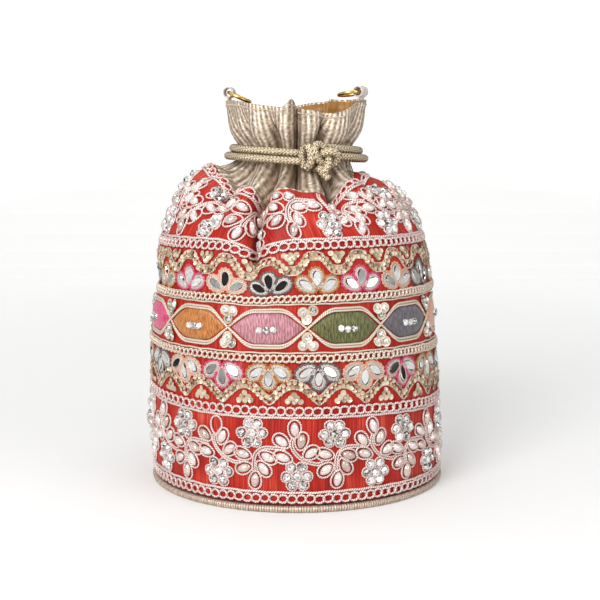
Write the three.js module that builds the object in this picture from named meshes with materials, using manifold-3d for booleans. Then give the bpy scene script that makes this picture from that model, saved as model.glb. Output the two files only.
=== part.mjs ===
// A potli: a round silk drawstring pouch. A flat base edged with piping carries an embroidered
// wall that is gathered at the neck under a tied cord; above it stands a ribbed collar with a
// satin lining and two side tabs, each holding a loose ring.
// Millimetres, +Z up, front towards -Y, origin at the centre of the underside of the base.
import * as THREE from "three";
import { mergeVertices } from "three/addons/utils/BufferGeometryUtils.js";
import Module from "manifold-3d";

const wasm = await Module();
wasm.setup();

// Overall form.
const BASE_RADIUS = 76; // outer face of the wall at the base seam
const NECK_RADIUS = 29.5; // fold crests under the drawstring
const NECK_HEIGHT = 171.5;
const RIM_RADIUS = 37;
const RIM_HEIGHT = 200.8;
// The rim hangs lower in front, most at its right, and behind at the left: angle, depth, spread.
const RIM_DIPS = [[5, 6.5, 60], [33, 3.5, 18], [-145, 6, 42]];
const NECK_DEPTH_RATIO = 0.88; // front to back over side to side
const RIM_DEPTH_RATIO = 0.72;
const WALL_LENGTH = 166; // silk from the base seam to the collar seam, along the wall
const SEAM_WAVE = 8; // the collar seam runs lower at front and back, higher at the sides
const SLUMP = 4.5; // the lower wall settles by this much at the sides
const SLUMP_TOP = 100;
const LEAN = 2.2; // the shoulder stands this far to the left of the base
const SHOULDER_DROP = 4.5; // the right shoulder hangs lower than the left by this much
const SHOULDER_FOOT = 95;
const CREASE_SAG = 5; // the cloth hangs lower by this much round the deepest fold
const CREASE_ANGLE = -15;
const CREASE_WIDTH = 9;
const CREASE_MIDDLE = 130;
const CREASE_REACH = 24;

// Cloth and board.
const WALL_THICKNESS = 1.2;
const COLLAR_THICKNESS = 1;
const LINING_THICKNESS = 0.8;
const BASE_CLOTH = 1.2;
const BASE_BOARD = 2;
const PIPING_DIAMETER = 3.5;
const SEWN_GAP = 0.3; // between two pieces sewn or laid together
const TRIM_GAP = 0.4; // between the silk and the work stitched on it
const GATHER_GAP = 2.1; // the same over the gathered shoulder, where the work bridges the folds

// Drawstring.
const CORD_DIAMETER = 3.6;
const CORD_TURNS = 2;
const CORD_TURN_GAP = 0.4;
const CORD_LIFT = 0.2; // middle of the two turns above the narrowest part of the neck
const CORD_TILT = 1.8; // the turns hang this much lower at the right, and higher at the left
const KNOT_ANGLE = 13;
const KNOT_LOOP = 2.9; // size of the three loops of the knot
const KNOT_NEST = 1; // the knot settles this far between the turns behind it
const KNOT_DROP = 2; // middle of the knot below the narrowest part of the neck

// Side tabs and rings.
const TAB_ANGLES = { left: -97, right: 66 };
const TAB_WIDTH = 6.5;
const TAB_STRAP = 0.9;
const TAB_STEM = 1.2; // straight part of the tab under its loop
const RING_DIAMETER = 14;
const RING_WIRE = 1.8;
const RING_REST_SLOPE = { left: 24, right: 8 }; // degrees below level, leaning into the mouth

// Embroidery, by its place up the wall from the base seam.
const BORDER_WIDTH = 6.2;
const GOLD_BORDER_WIDTH = 5.4;
const BORDER_HEIGHT = 1.3;
const BASE_BORDER_FOOT = 1;
const LOWER_BORDER_FOOT = 42.2;
const LOWER_GOLD_FOOT = 69;
const UPPER_GOLD_FOOT = 96.4;
const UPPER_BORDER_FOOT = 123.8;
const NECK_BORDER_INSET = 1; // from the collar seam
const NECK_BORDER_GAP = 0.8; // it bridges the folds
const SCALLOP_COUNT = 20;
const SCALLOP_WIDTH = 2.6;
const SCALLOP_RISE = 7.4;
const SCALLOP_HEIGHT = 1.2;
const LOWER_SCALLOP_MIDDLE = 55.2;
const UPPER_SCALLOP_MIDDLE = 117.2;
const HEXAGON_COUNT = 12;
const HEXAGON_START = 5.5; // crossing of the first two hexagons right of the front
const HEXAGON_HEIGHT = 15.6;
const HEXAGON_SPACE = 5; // between the points of two neighbours
const HEXAGON_PADDING = 1.1;
const PETAL_LENGTH = 11.5;
const PETAL_GAP = 0.6; // the stiff petals stand a little further off the silk
const PETAL_HEIGHT = 1.8;
const PETAL_FAN = 52; // angle of the side petals from the middle one
const VINE_PERIODS = 12;
const VINE_SWING = 9.6; // of its line above and below the middle of the band
const VINE_BEAD = 6.4;
const VINE_STEM = 2.2;
const VINE_HEIGHT = 2;

// Shape of the wall as shares of the base radius and of the neck height.
const WALL_SHAPE = [
  [1, 0], [1.004, 0.126], [1, 0.276], [0.993, 0.378], [0.968, 0.539], [0.943, 0.665], [0.916, 0.731],
  [0.876, 0.797], [0.812, 0.859], [0.766, 0.892], [0.7, 0.922], [0.618, 0.945], [0.53, 0.959],
  [0.45, 0.972],
];
const COLLAR_SHAPE = [[0.25, 0.25], [0.7, 0.65]];

// Folds that run down from the neck: angle from the front, width in degrees, depth at the collar
// seam, reach down. The first is a fullness, so its depth is below nothing.
const WALL_FOLDS = [
  [-80, 18, -2.5, 34], [-60, 6, 4, 18], [-39, 9, 17, 38], [-15, 5, 17, 48], [7.5, 7, 3, 14],
  [24, 7, 14, 32], [52.5, 7, 5, 24], [82.5, 7, 6, 26], [112.5, 8, 10, 36], [142.5, 7, 7, 26],
  [172.5, 8, 11, 40], [202.5, 7, 6, 24], [232.5, 8, 10, 34], [270, 7, 5, 22],
];
// Folds of the collar: angle from the front, width in degrees, depth under the drawstring, depth
// at the rim.
const COLLAR_FOLDS = [
  [-75, 8, 5, 0.5], [-52.5, 8, 6, 0.5], [-22.5, 7, 8, 0.5], [0, 6, 9, 9], [15, 7, 8, 0.5],
  [45, 8, 6, 0.5], [90, 8, 5, 0.5], [112.5, 8, 6, 1.5], [142.5, 8, 7, 4], [172.5, 8, 7, 1],
  [202.5, 8, 6, 3], [232.5, 8, 6, 1],
];

// Facets.
const SEGMENTS = 48;
const BOARD_SEGMENTS = 24;
const PIPING_SIDES = 5;
const VINE_STEPS = 6; // for each period
const UPPER_VINE_STEPS = 4; // so that it turns where the facets of the wall do
const CORD_SIDES = 8;
const CORD_STEPS_PER_TURN = 18;
const KNOT_STEPS = 22;

const HEXAGON_COLOURS = [0xd6336c, 0xe08a2e, 0xd98aa0, 0x5f6b22, 0x6b606b, 0xe7a98b];

// Sizes that follow from those above.
const RAD = Math.PI / 180;
const TURN = 2 * Math.PI;
const PIPING_RADIUS = PIPING_DIAMETER / 2;
const PIPING_LIFT = 0.1;
const WALL_FOOT = PIPING_LIFT + PIPING_DIAMETER + SEWN_GAP;
const PIPING_CENTRE = BASE_RADIUS - WALL_THICKNESS + PIPING_RADIUS;
const BASE_CLOTH_RADIUS = PIPING_CENTRE - PIPING_RADIUS - SEWN_GAP;
const LINING_DEPTH = Math.max(WALL_THICKNESS, COLLAR_THICKNESS) + SEWN_GAP;
const BOARD_FLOOR = BASE_CLOTH + SEWN_GAP;
const LINING_FLOOR = BOARD_FLOOR + BASE_BOARD + SEWN_GAP;
const CORD_RADIUS = CORD_DIAMETER / 2;
const RING_RADIUS = (RING_DIAMETER - RING_WIRE) / 2;
const WIRE_SWEEP = RING_RADIUS - Math.sqrt(RING_RADIUS ** 2 - (TAB_WIDTH / 2) ** 2);
const TAB_BORE = RING_WIRE / 2 + WIRE_SWEEP + SEWN_GAP;
const TAB_LOOP = TAB_BORE + TAB_STRAP;

function smooth(value) {
  const t = THREE.MathUtils.clamp(value, 0, 1);
  return t * t * (3 - 2 * t);
}

// The meridian of the bag, from the base seam over the shoulder and the neck to the rim.
const meridian = new THREE.SplineCurve([
  ...WALL_SHAPE.map(([r, z]) => new THREE.Vector2(
    r * BASE_RADIUS,
    WALL_FOOT + z * (NECK_HEIGHT - WALL_FOOT),
  )),
  new THREE.Vector2(NECK_RADIUS, NECK_HEIGHT),
  ...COLLAR_SHAPE.map(([r, z]) => new THREE.Vector2(
    NECK_RADIUS + r * (RIM_RADIUS - NECK_RADIUS),
    NECK_HEIGHT + z * (RIM_HEIGHT - NECK_HEIGHT),
  )),
  new THREE.Vector2(RIM_RADIUS, RIM_HEIGHT),
]);
meridian.arcLengthDivisions = 600;
const RIM_LENGTH = meridian.getLength();

function lengthAtHeight(height) {
  let low = 0;
  let high = 1;
  for (let step = 0; step < 40; step += 1) {
    const middle = (low + high) / 2;
    if (meridian.getPointAt(middle).y < height) {
      low = middle;
    } else {
      high = middle;
    }
  }
  return low * RIM_LENGTH;
}

const NECK_LENGTH = lengthAtHeight(NECK_HEIGHT);

function seamAt(angle) {
  return WALL_LENGTH - SEAM_WAVE * Math.cos(2 * angle);
}

// A bell across the cloth: one at its middle, fading over a width, both in degrees.
function bellAcross(angle, middle, width) {
  const away = Math.atan2(Math.sin(angle - middle * RAD), Math.cos(angle - middle * RAD)) / RAD;
  return Math.exp(-((away / width) ** 2));
}

function rimAt(angle) {
  let dip = 0;
  for (const [middle, depth, spread] of RIM_DIPS) {
    dip += depth * bellAcross(angle, middle, spread);
  }
  return RIM_LENGTH - dip;
}

// How far the cloth is drawn in by its folds at one place.
function foldDepth(angle, length) {
  const seam = seamAt(angle);
  const toNeck = smooth((length - seam) / (NECK_LENGTH - seam));
  const toRim = smooth((length - NECK_LENGTH) / (RIM_LENGTH - NECK_LENGTH));
  let depth = 0;
  for (const [at, width, atSeam, reach] of WALL_FOLDS) {
    const along = atSeam * smooth((length - seam + reach) / reach) * (1 - toNeck);
    depth += along * bellAcross(angle, at, width);
  }
  for (const [at, width, atNeck, atRim] of COLLAR_FOLDS) {
    const along = (atNeck + (atRim - atNeck) * toRim) * toNeck;
    depth += along * bellAcross(angle, at, width);
  }
  return depth;
}

// Front to back over side to side, at one place up the cloth.
function depthRatio(length) {
  const start = WALL_LENGTH - 3 * SEAM_WAVE;
  const toNeck = smooth((length - start) / (NECK_LENGTH - start));
  const toRim = smooth((length - NECK_LENGTH) / (RIM_LENGTH - NECK_LENGTH));
  return 1 - (1 - NECK_DEPTH_RATIO) * toNeck - (NECK_DEPTH_RATIO - RIM_DEPTH_RATIO) * toRim;
}

// A point at a height off the outer face of the cloth, measured along its normal.
function clothPoint(angle, length, height) {
  const share = length / RIM_LENGTH;
  const point = meridian.getPointAt(share);
  const along = meridian.getTangentAt(share);
  const out = height - foldDepth(angle, length);
  const radius = point.x + along.y * out;
  const settle = Math.sin(Math.PI * THREE.MathUtils.clamp(length / SLUMP_TOP, 0, 1));
  const seam = seamAt(angle);
  const belowNeck = 1 - smooth((length - seam) / (NECK_LENGTH - seam));
  const aside = LEAN * smooth(length / SHOULDER_FOOT) * belowNeck;
  const drop = SHOULDER_DROP * smooth((length - SHOULDER_FOOT) / 50) * belowNeck * (1 + Math.sin(angle)) / 2;
  const nearCrease = Math.exp(-(((length - CREASE_MIDDLE) / CREASE_REACH) ** 2));
  const sag = CREASE_SAG * bellAcross(angle, CREASE_ANGLE, CREASE_WIDTH) * nearCrease;
  return new THREE.Vector3(
    radius * Math.sin(angle) - aside,
    -radius * Math.cos(angle) * depthRatio(length),
    point.y - along.x * out - drop - sag - SLUMP * settle * Math.sin(angle) ** 2,
  );
}

// The cloth is laid in flat facets between these stations up its length, the seam among them.
const WALL_STATIONS = [0, 0.39, 0.66].map((share) => share * WALL_LENGTH);
const SEAM_STATION = WALL_STATIONS.length + 3;
const NECK_BORDER_DROP = NECK_BORDER_INSET + BORDER_WIDTH;

function stationsAt(angle) {
  const seam = seamAt(angle);
  const rim = rimAt(angle);
  return [
    ...WALL_STATIONS,
    UPPER_BORDER_FOOT - SEWN_GAP,
    UPPER_BORDER_FOOT + BORDER_WIDTH + SEWN_GAP,
    seam - NECK_BORDER_DROP - SEWN_GAP,
    seam,
    (seam + NECK_LENGTH) / 2,
    NECK_LENGTH,
    NECK_LENGTH + 0.45 * (rim - NECK_LENGTH),
    rim,
  ];
}

const RIM_STATION = stationsAt(0).length - 1;

// A point at a height off the faceted cloth.
function facetPoint(angle, length, height) {
  const step = TURN / SEGMENTS;
  const column = Math.floor(angle / step + 1e-9);
  const across = angle / step - column;
  const sides = [stationsAt(column * step), stationsAt((column + 1) * step)];
  const stations = sides[0].map((low, k) => low + (sides[1][k] - low) * across);
  let row = 0;
  while (row < RIM_STATION - 1 && length > stations[row + 1]) {
    row += 1;
  }
  const along = (length - stations[row]) / (stations[row + 1] - stations[row]);
  const corner = (right, up) => clothPoint((column + right) * step, sides[right][row + up], height);
  const start = corner(0, 0);
  const end = corner(1, 1);
  const side = across > along ? corner(1, 0) : corner(0, 1);
  return start.clone()
    .addScaledVector(side.clone().sub(start), Math.max(across, along))
    .addScaledVector(end.sub(side), Math.min(across, along));
}

// A closed body from its corner points and triangles, with corners that meet joined into one.
function closedBody(points, triangles) {
  const geometry = new THREE.BufferGeometry().setFromPoints(points);
  geometry.setIndex(triangles);
  const joined = mergeVertices(geometry, 1e-4);
  const kept = [];
  const index = joined.index.array;
  for (let i = 0; i < index.length; i += 3) {
    const [a, b, c] = [index[i], index[i + 1], index[i + 2]];
    if (a !== b && b !== c && c !== a) {
      kept.push(a, b, c);
    }
  }
  joined.setIndex(kept);
  return joined;
}

// A ring round the bag from the section at each angle: up its outer face, then down its inner.
function ringBody(sectionAt, segments = SEGMENTS) {
  const points = [];
  const triangles = [];
  for (let i = 0; i < segments; i += 1) {
    points.push(...sectionAt((i * TURN) / segments, i));
  }
  const rows = points.length / segments;
  for (let i = 0; i < segments; i += 1) {
    const here = i * rows;
    const next = ((i + 1) % segments) * rows;
    for (let j = 0; j < rows; j += 1) {
      const above = (j + 1) % rows;
      const inner = j >= rows / 2;
      triangles.push(here + j, next + j, inner ? here + above : next + above);
      triangles.push(next + above, here + above, inner ? next + j : here + j);
    }
  }
  return closedBody(points, triangles);
}

// A sheet of cloth between two stations, its outer face at a depth below the bag's outer face
// and its ends cut back by what the seams there take up.
function clothSheet(first, last, cuts, depth, thickness) {
  return ringBody((angle) => {
    const lengths = stationsAt(angle).slice(first, last + 1);
    lengths[0] += cuts[0];
    lengths[lengths.length - 1] -= cuts[1];
    return [
      ...lengths.map((s) => facetPoint(angle, s, -depth)),
      ...lengths.reverse().map((s) => facetPoint(angle, s, -depth - thickness)),
    ];
  });
}

// A round body about the Z axis from its outline in radius and height.
function turned(outline, segments) {
  const points = outline.map(([radius, height]) => new THREE.Vector2(radius, height));
  const geometry = new THREE.LatheGeometry(points, segments);
  geometry.rotateX(Math.PI / 2);
  return geometry;
}

function disc(radius, floor, thickness, segments) {
  const ceiling = floor + thickness;
  return turned([[0, floor], [radius, floor], [radius, ceiling], [0, ceiling]], segments);
}

function pipingRing() {
  return ringBody((angle) => {
    const section = [];
    for (let k = 0; k < PIPING_SIDES; k += 1) {
      const turn = (k * TURN) / PIPING_SIDES - Math.PI / 2;
      const radius = PIPING_CENTRE + PIPING_RADIUS * Math.cos(turn);
      section.push(new THREE.Vector3(
        radius * Math.sin(angle),
        -radius * Math.cos(angle),
        PIPING_LIFT + PIPING_RADIUS * (1 + Math.sin(turn)),
      ));
    }
    return section;
  });
}

// The lining: a floor on the base board and a sheet that follows the cloth up to the rim.
function liningBag() {
  return ringBody((angle) => {
    const lengths = stationsAt(angle).slice(1);
    lengths[lengths.length - 1] -= LINING_THICKNESS;
    const inner = LINING_DEPTH + LINING_THICKNESS;
    const corner = (depth, height) => {
      const edge = facetPoint(angle, 0, -depth);
      return new THREE.Vector3(edge.x, edge.y, height);
    };
    return [
      new THREE.Vector3(0, 0, LINING_FLOOR),
      corner(LINING_DEPTH, LINING_FLOOR),
      ...lengths.map((s) => facetPoint(angle, s, -LINING_DEPTH)),
      ...lengths.filter((s, k) => k !== 0 && k !== 2).reverse()
        .map((s) => facetPoint(angle, s, -inner)),
      corner(inner, LINING_FLOOR + LINING_THICKNESS),
      new THREE.Vector3(0, 0, LINING_FLOOR + LINING_THICKNESS),
    ];
  });
}

// A ridge of stitched work: its middle and half width may change round the bag.
function ridge(middleAt, halfWidthAt, height, segments = SEGMENTS, gap = TRIM_GAP) {
  return ringBody((angle, i) => {
    const middle = middleAt(angle);
    const half = halfWidthAt(i);
    return [
      facetPoint(angle, middle - half, gap),
      facetPoint(angle, middle, gap + height),
      facetPoint(angle, middle + half, gap),
    ];
  }, segments);
}

// A chain border, its loops making every other section a little wider.
function chainBorder(footAt, width, gap = TRIM_GAP) {
  return ridge(
    (angle) => footAt(angle) + width / 2,
    (i) => (width / 2) * (i % 2 === 0 ? 1 : 0.84),
    BORDER_HEIGHT,
    SEGMENTS,
    gap,
  );
}

// A wavy trim that passes round the tips of the flowers of its row, which grow up or down.
function scallopTrim(middle, direction) {
  return ridge(
    (angle) => middle - direction * (SCALLOP_RISE / 2) * Math.cos(SCALLOP_COUNT * angle),
    () => SCALLOP_WIDTH / 2,
    SCALLOP_HEIGHT,
    SCALLOP_COUNT * 4,
  );
}

// A flowering vine: a line that swings up and down its band, swelling where beads are sewn on.
function beadedVine(middleAt, swing, gap, steps) {
  return ridge(
    (angle) => middleAt(angle) + swing * Math.cos(VINE_PERIODS * angle),
    (i) => (i % 2 === 0 ? VINE_BEAD : VINE_STEM) / 2,
    VINE_HEIGHT,
    VINE_PERIODS * steps,
    gap,
  );
}

// A padded hexagon with points to left and right, laid in strips that follow the bag's curve.
function hexagonPatch(angle) {
  const middle = (LOWER_GOLD_FOOT + GOLD_BORDER_WIDTH + UPPER_GOLD_FOOT) / 2;
  const radius = meridian.getPointAt(middle / RIM_LENGTH).x;
  const reach = (TURN * radius) / HEXAGON_COUNT / 2 - HEXAGON_SPACE / 2;
  const columns = [[-1, 0], [-0.5, 1], [0, 1], [0.5, 1], [1, 0]];
  const points = [];
  const triangles = [];
  for (const [across, share] of columns) {
    const at = angle + (across * reach) / radius;
    const half = (share * HEXAGON_HEIGHT) / 2;
    const top = TRIM_GAP + HEXAGON_PADDING;
    points.push(
      facetPoint(at, middle - half, TRIM_GAP),
      facetPoint(at, middle - half, top),
      facetPoint(at, middle + half, top),
      facetPoint(at, middle + half, TRIM_GAP),
    );
  }
  for (let column = 0; column < columns.length - 1; column += 1) {
    const here = column * 4;
    const next = here + 4;
    for (let j = 0; j < 4; j += 1) {
      const above = (j + 1) % 4;
      triangles.push(here + j, next + j, next + above);
      triangles.push(here + j, next + above, here + above);
    }
  }
  const last = (columns.length - 1) * 4;
  triangles.push(0, 1, 2, 0, 2, 3);
  triangles.push(last, last + 2, last + 1, last, last + 3, last + 2);
  return closedBody(points, triangles);
}

// A flower of three petals lying on the cloth, each with a raised ridge; it grows up or down.
function flower(angle, length, direction) {
  const radius = meridian.getPointAt(length / RIM_LENGTH).x;
  const place = (along, lean, height) => facetPoint(
    angle + (along * Math.sin(lean * RAD) * direction) / radius,
    length + along * Math.cos(lean * RAD) * direction,
    PETAL_GAP + height,
  );
  const notch = 0.45 * PETAL_LENGTH;
  const crest = 0.55 * PETAL_LENGTH;
  const points = [place(0, 0, 0)];
  for (const [along, turn] of [[1, 1], [0, 0.5], [1, 0], [0, -0.5], [1, -1]]) {
    points.push(place(along ? PETAL_LENGTH : notch, turn * PETAL_FAN, 0));
  }
  for (const turn of [1, 0, -1]) {
    points.push(place(crest, turn * PETAL_FAN, PETAL_HEIGHT));
  }
  points.push(place(0.3 * PETAL_LENGTH, 0, PETAL_HEIGHT / 2));
  const rims = [[0, 1, 2, 6], [2, 3, 4, 7], [4, 5, 0, 8]];
  const triangles = [0, 2, 1, 0, 3, 2, 0, 4, 3, 0, 5, 4];
  for (const [first, tip, last, top] of rims) {
    triangles.push(first, tip, top, tip, last, top, last, 9, top, 9, first, top);
  }
  return closedBody(points, triangles);
}

function solidOf(geometry) {
  const bare = geometry.clone();
  bare.deleteAttribute("normal");
  bare.deleteAttribute("uv");
  const joined = mergeVertices(bare, 1e-4);
  return new wasm.Manifold(new wasm.Mesh({
    numProp: 3,
    vertProperties: new Float32Array(joined.attributes.position.array),
    triVerts: new Uint32Array(joined.index.array),
  }));
}

function geometryOf(solid) {
  const mesh = solid.getMesh();
  const geometry = new THREE.BufferGeometry();
  geometry.setAttribute("position", new THREE.BufferAttribute(mesh.vertProperties, 3));
  geometry.setIndex(new THREE.BufferAttribute(mesh.triVerts, 1));
  return geometry;
}

// A gold border with the row of flowers that grows from it, up or down.
function floweredBorder(foot, direction) {
  let solid = solidOf(chainBorder(() => foot, GOLD_BORDER_WIDTH));
  const root = foot + (GOLD_BORDER_WIDTH / 2) * (1 + 0.5 * direction);
  for (let k = 0; k < SCALLOP_COUNT; k += 1) {
    const angle = ((k + 0.5) * TURN) / SCALLOP_COUNT;
    solid = solid.add(solidOf(flower(angle, root, direction)));
  }
  return geometryOf(solid);
}

// A round cord along a line of points.
function cordAlong(points, steps) {
  const path = new THREE.CatmullRomCurve3(points);
  const section = new THREE.Shape();
  for (let k = 0; k < CORD_SIDES; k += 1) {
    const turn = (k * TURN) / CORD_SIDES;
    section[k === 0 ? "moveTo" : "lineTo"](
      CORD_RADIUS * Math.cos(turn),
      CORD_RADIUS * Math.sin(turn),
    );
  }
  section.closePath();
  return new THREE.ExtrudeGeometry(section, { steps, extrudePath: path, curveSegments: 1 });
}

// A point off the crests of the neck's folds, where the drawstring lies against them.
function neckPoint(angle, out, height) {
  let across = 0;
  let depth = 0;
  for (const edge of [height - CORD_RADIUS, height + CORD_RADIUS]) {
    const length = lengthAtHeight(edge);
    const radius = meridian.getPointAt(length / RIM_LENGTH).x;
    across = Math.max(across, radius);
    depth = Math.max(depth, radius * depthRatio(length));
  }
  return new THREE.Vector3(
    (across + out) * Math.sin(angle),
    -(depth + out) * Math.cos(angle),
    height,
  );
}

const CORD_OUT = CORD_RADIUS + 3.6 * SEWN_GAP;
const CORD_PITCH = CORD_DIAMETER + CORD_TURN_GAP;

// Two turns round the neck, from the right of the knot down to its left.
function drawstringCord() {
  const ease = 14 * RAD;
  const start = KNOT_ANGLE * RAD + ease;
  const sweep = CORD_TURNS * TURN - 2 * ease;
  const steps = CORD_TURNS * CORD_STEPS_PER_TURN;
  const points = [];
  for (let k = 0; k <= steps; k += 1) {
    const turn = (sweep * k) / steps;
    const drop = CORD_PITCH * (turn / TURN - CORD_TURNS / 2) + CORD_TILT * Math.sin(start + turn);
    points.push(neckPoint(start + turn, CORD_OUT, NECK_HEIGHT + CORD_LIFT - drop));
  }
  return cordAlong(points, steps);
}

// The knot in front of the turns: three interlaced loops with two short tails.
function drawstringKnot() {
  const depth = (CORD_DIAMETER + CORD_TURN_GAP) / 2;
  const out = CORD_OUT + CORD_DIAMETER + SEWN_GAP + depth - KNOT_NEST;
  const angle = KNOT_ANGLE * RAD;
  const centre = neckPoint(angle, out, NECK_HEIGHT - KNOT_DROP);
  const right = new THREE.Vector3(Math.cos(angle), Math.sin(angle), 0);
  const front = new THREE.Vector3(Math.sin(angle), -Math.cos(angle), 0);
  const at = (across, up, towards) => centre.clone()
    .addScaledVector(right, across)
    .addScaledVector(front, towards)
    .add(new THREE.Vector3(0, 0, up));
  const opening = 0.3;
  const points = [];
  for (let k = 0; k <= KNOT_STEPS; k += 1) {
    const turn = Math.PI + opening + ((TURN - 2 * opening) * k) / KNOT_STEPS;
    points.push(at(
      KNOT_LOOP * (Math.sin(turn) + 2 * Math.sin(2 * turn)),
      KNOT_LOOP * (Math.cos(turn) - 2 * Math.cos(2 * turn)),
      -depth * Math.sin(3 * turn),
    ));
  }
  return cordAlong(points, KNOT_STEPS);
}

// Where a tab stands on the rim: its foot, the rim's direction there and the way out of the bag.
function tabPlace(side) {
  const angle = ((TAB_ANGLES[side] + 360) % 360) * RAD;
  const half = (0.55 * TAB_WIDTH) / RIM_RADIUS;
  const ahead = facetPoint(angle + half, rimAt(angle + half), -COLLAR_THICKNESS / 2);
  const behind = facetPoint(angle - half, rimAt(angle - half), -COLLAR_THICKNESS / 2);
  const foot = facetPoint(angle, rimAt(angle), -COLLAR_THICKNESS / 2);
  foot.z = Math.max(ahead.z, behind.z, foot.z) + SEWN_GAP;
  const along = ahead.sub(behind).setZ(0).normalize();
  const out = new THREE.Vector3(along.y, -along.x, 0);
  const centre = foot.clone().setZ(foot.z + TAB_STEM + TAB_LOOP);
  return { foot, along, out, centre };
}

// A folded strap whose loop holds the ring, standing on its doubled stem.
function sideTab(side) {
  const { foot, along, out } = tabPlace(side);
  const height = TAB_STEM + TAB_LOOP;
  const open = Math.asin(TAB_STRAP / TAB_LOOP);
  const sides = 14;
  const shape = new THREE.Shape();
  shape.moveTo(-TAB_STRAP, 0);
  shape.lineTo(TAB_STRAP, 0);
  for (let k = 0; k <= sides; k += 1) {
    const turn = -Math.PI / 2 + open + ((TURN - 2 * open) * k) / sides;
    shape.lineTo(TAB_LOOP * Math.cos(turn), height + TAB_LOOP * Math.sin(turn));
  }
  shape.closePath();
  const bore = new THREE.Path();
  for (let k = 0; k < sides; k += 1) {
    const turn = (-k * TURN) / sides;
    bore[k === 0 ? "moveTo" : "lineTo"](
      (TAB_BORE / Math.cos(Math.PI / sides)) * Math.cos(turn),
      height + (TAB_BORE / Math.cos(Math.PI / sides)) * Math.sin(turn),
    );
  }
  bore.closePath();
  shape.holes.push(bore);
  const strap = new THREE.ExtrudeGeometry(shape, { depth: TAB_WIDTH, bevelEnabled: false });
  strap.translate(0, 0, -TAB_WIDTH / 2);
  const up = new THREE.Vector3(0, 0, 1);
  const back = along.clone().negate();
  strap.applyMatrix4(new THREE.Matrix4().makeBasis(out, up, back).setPosition(foot));
  return strap;
}

// A ring through the loop of its tab, leaning into the mouth of the bag.
function sideRing(side) {
  const { along, out, centre } = tabPlace(side);
  const slope = RING_REST_SLOPE[side] * RAD;
  const lean = out.clone().multiplyScalar(-Math.cos(slope)).setZ(-Math.sin(slope));
  const axis = along.clone().cross(lean);
  const ring = new THREE.TorusGeometry(RING_RADIUS, RING_WIRE / 2, 6, 20);
  ring.applyMatrix4(new THREE.Matrix4()
    .makeBasis(along, lean, axis)
    .setPosition(centre.addScaledVector(lean, RING_RADIUS)));
  return ring;
}

const bag = new THREE.Group();
bag.name = "potli_bag";

function addPiece(name, geometry, color, roughness, metalness = 0) {
  const material = new THREE.MeshStandardMaterial({ color, roughness, metalness });
  const mesh = new THREE.Mesh(geometry, material);
  mesh.name = name;
  bag.add(mesh);
}

const SILK = 0xd6342b;
const CHAMPAGNE = 0xb8a58f;
const PINK_CORD = 0xebcfc9;
const GOLD_CORD = 0xdcc9a0;

const boardRadius = BASE_CLOTH_RADIUS - SEWN_GAP;
const board = disc(boardRadius, BOARD_FLOOR, BASE_BOARD, BOARD_SEGMENTS);
addPiece("base_cloth", disc(BASE_CLOTH_RADIUS, 0, BASE_CLOTH, SEGMENTS), SILK, 0.6);
addPiece("base_board", board, 0x8a6f52, 0.9);
addPiece("base_piping", pipingRing(), 0xc2b08e, 0.5);
addPiece(
  "wall",
  clothSheet(0, SEAM_STATION, [0, SEWN_GAP / 2], 0, WALL_THICKNESS),
  SILK,
  0.55,
);
addPiece(
  "collar",
  clothSheet(SEAM_STATION, RIM_STATION, [SEWN_GAP / 2, 0], 0, COLLAR_THICKNESS),
  CHAMPAGNE,
  0.45,
);
addPiece("lining", liningBag(), 0xa87a34, 0.4);
addPiece("drawstring", drawstringCord(), 0xc9ae78, 0.4, 0.3);
addPiece("drawstring_knot", drawstringKnot(), 0xc9ae78, 0.4, 0.3);
for (const side of ["left", "right"]) {
  addPiece(`${side}_tab`, sideTab(side), 0xd9cfc8, 0.5);
  addPiece(`${side}_ring`, sideRing(side), 0xc9a35a, 0.25, 1);
}

addPiece("base_border", chainBorder(() => BASE_BORDER_FOOT, BORDER_WIDTH), PINK_CORD, 0.5);
addPiece("lower_border", chainBorder(() => LOWER_BORDER_FOOT, BORDER_WIDTH), PINK_CORD, 0.5);
addPiece("upper_border", chainBorder(() => UPPER_BORDER_FOOT, BORDER_WIDTH), PINK_CORD, 0.5);
addPiece(
  "neck_border",
  chainBorder((a) => seamAt(a) - NECK_BORDER_DROP, BORDER_WIDTH, NECK_BORDER_GAP),
  PINK_CORD,
  0.5,
);
addPiece("lower_gold_border", floweredBorder(LOWER_GOLD_FOOT, -1), GOLD_CORD, 0.4);
addPiece("upper_gold_border", floweredBorder(UPPER_GOLD_FOOT, 1), GOLD_CORD, 0.4);
addPiece("lower_scallop", scallopTrim(LOWER_SCALLOP_MIDDLE, -1), 0xd9c79c, 0.35, 0.4);
addPiece("upper_scallop", scallopTrim(UPPER_SCALLOP_MIDDLE, 1), 0xd9c79c, 0.35, 0.4);

const lowerVineMiddle = (BASE_BORDER_FOOT + BORDER_WIDTH + LOWER_BORDER_FOOT) / 2;
const upperVineFoot = UPPER_BORDER_FOOT + BORDER_WIDTH;
const upperVineMiddle = (angle) => (upperVineFoot + seamAt(angle) - NECK_BORDER_DROP) / 2;
const upperVineRoom = WALL_LENGTH - SEAM_WAVE - NECK_BORDER_DROP - upperVineFoot;
const upperVineSwing = Math.min(VINE_SWING, (upperVineRoom - VINE_BEAD) / 2 - SEWN_GAP);
addPiece("lower_vine", beadedVine(() => lowerVineMiddle, VINE_SWING, TRIM_GAP, VINE_STEPS), 0xe9dcd5, 0.35);
addPiece(
  "upper_vine",
  beadedVine(upperVineMiddle, upperVineSwing, GATHER_GAP, UPPER_VINE_STEPS),
  0xe9dcd5,
  0.35,
);

for (let k = 0; k < HEXAGON_COUNT; k += 1) {
  const angle = ((k + 0.5) * TURN) / HEXAGON_COUNT + HEXAGON_START * RAD;
  const number = String(k + 1).padStart(2, "0");
  const colour = HEXAGON_COLOURS[(k + 3) % HEXAGON_COLOURS.length];
  addPiece(`hexagon_${number}`, hexagonPatch(angle), colour, 0.6);
}

export default bag;
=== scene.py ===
import math

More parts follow.
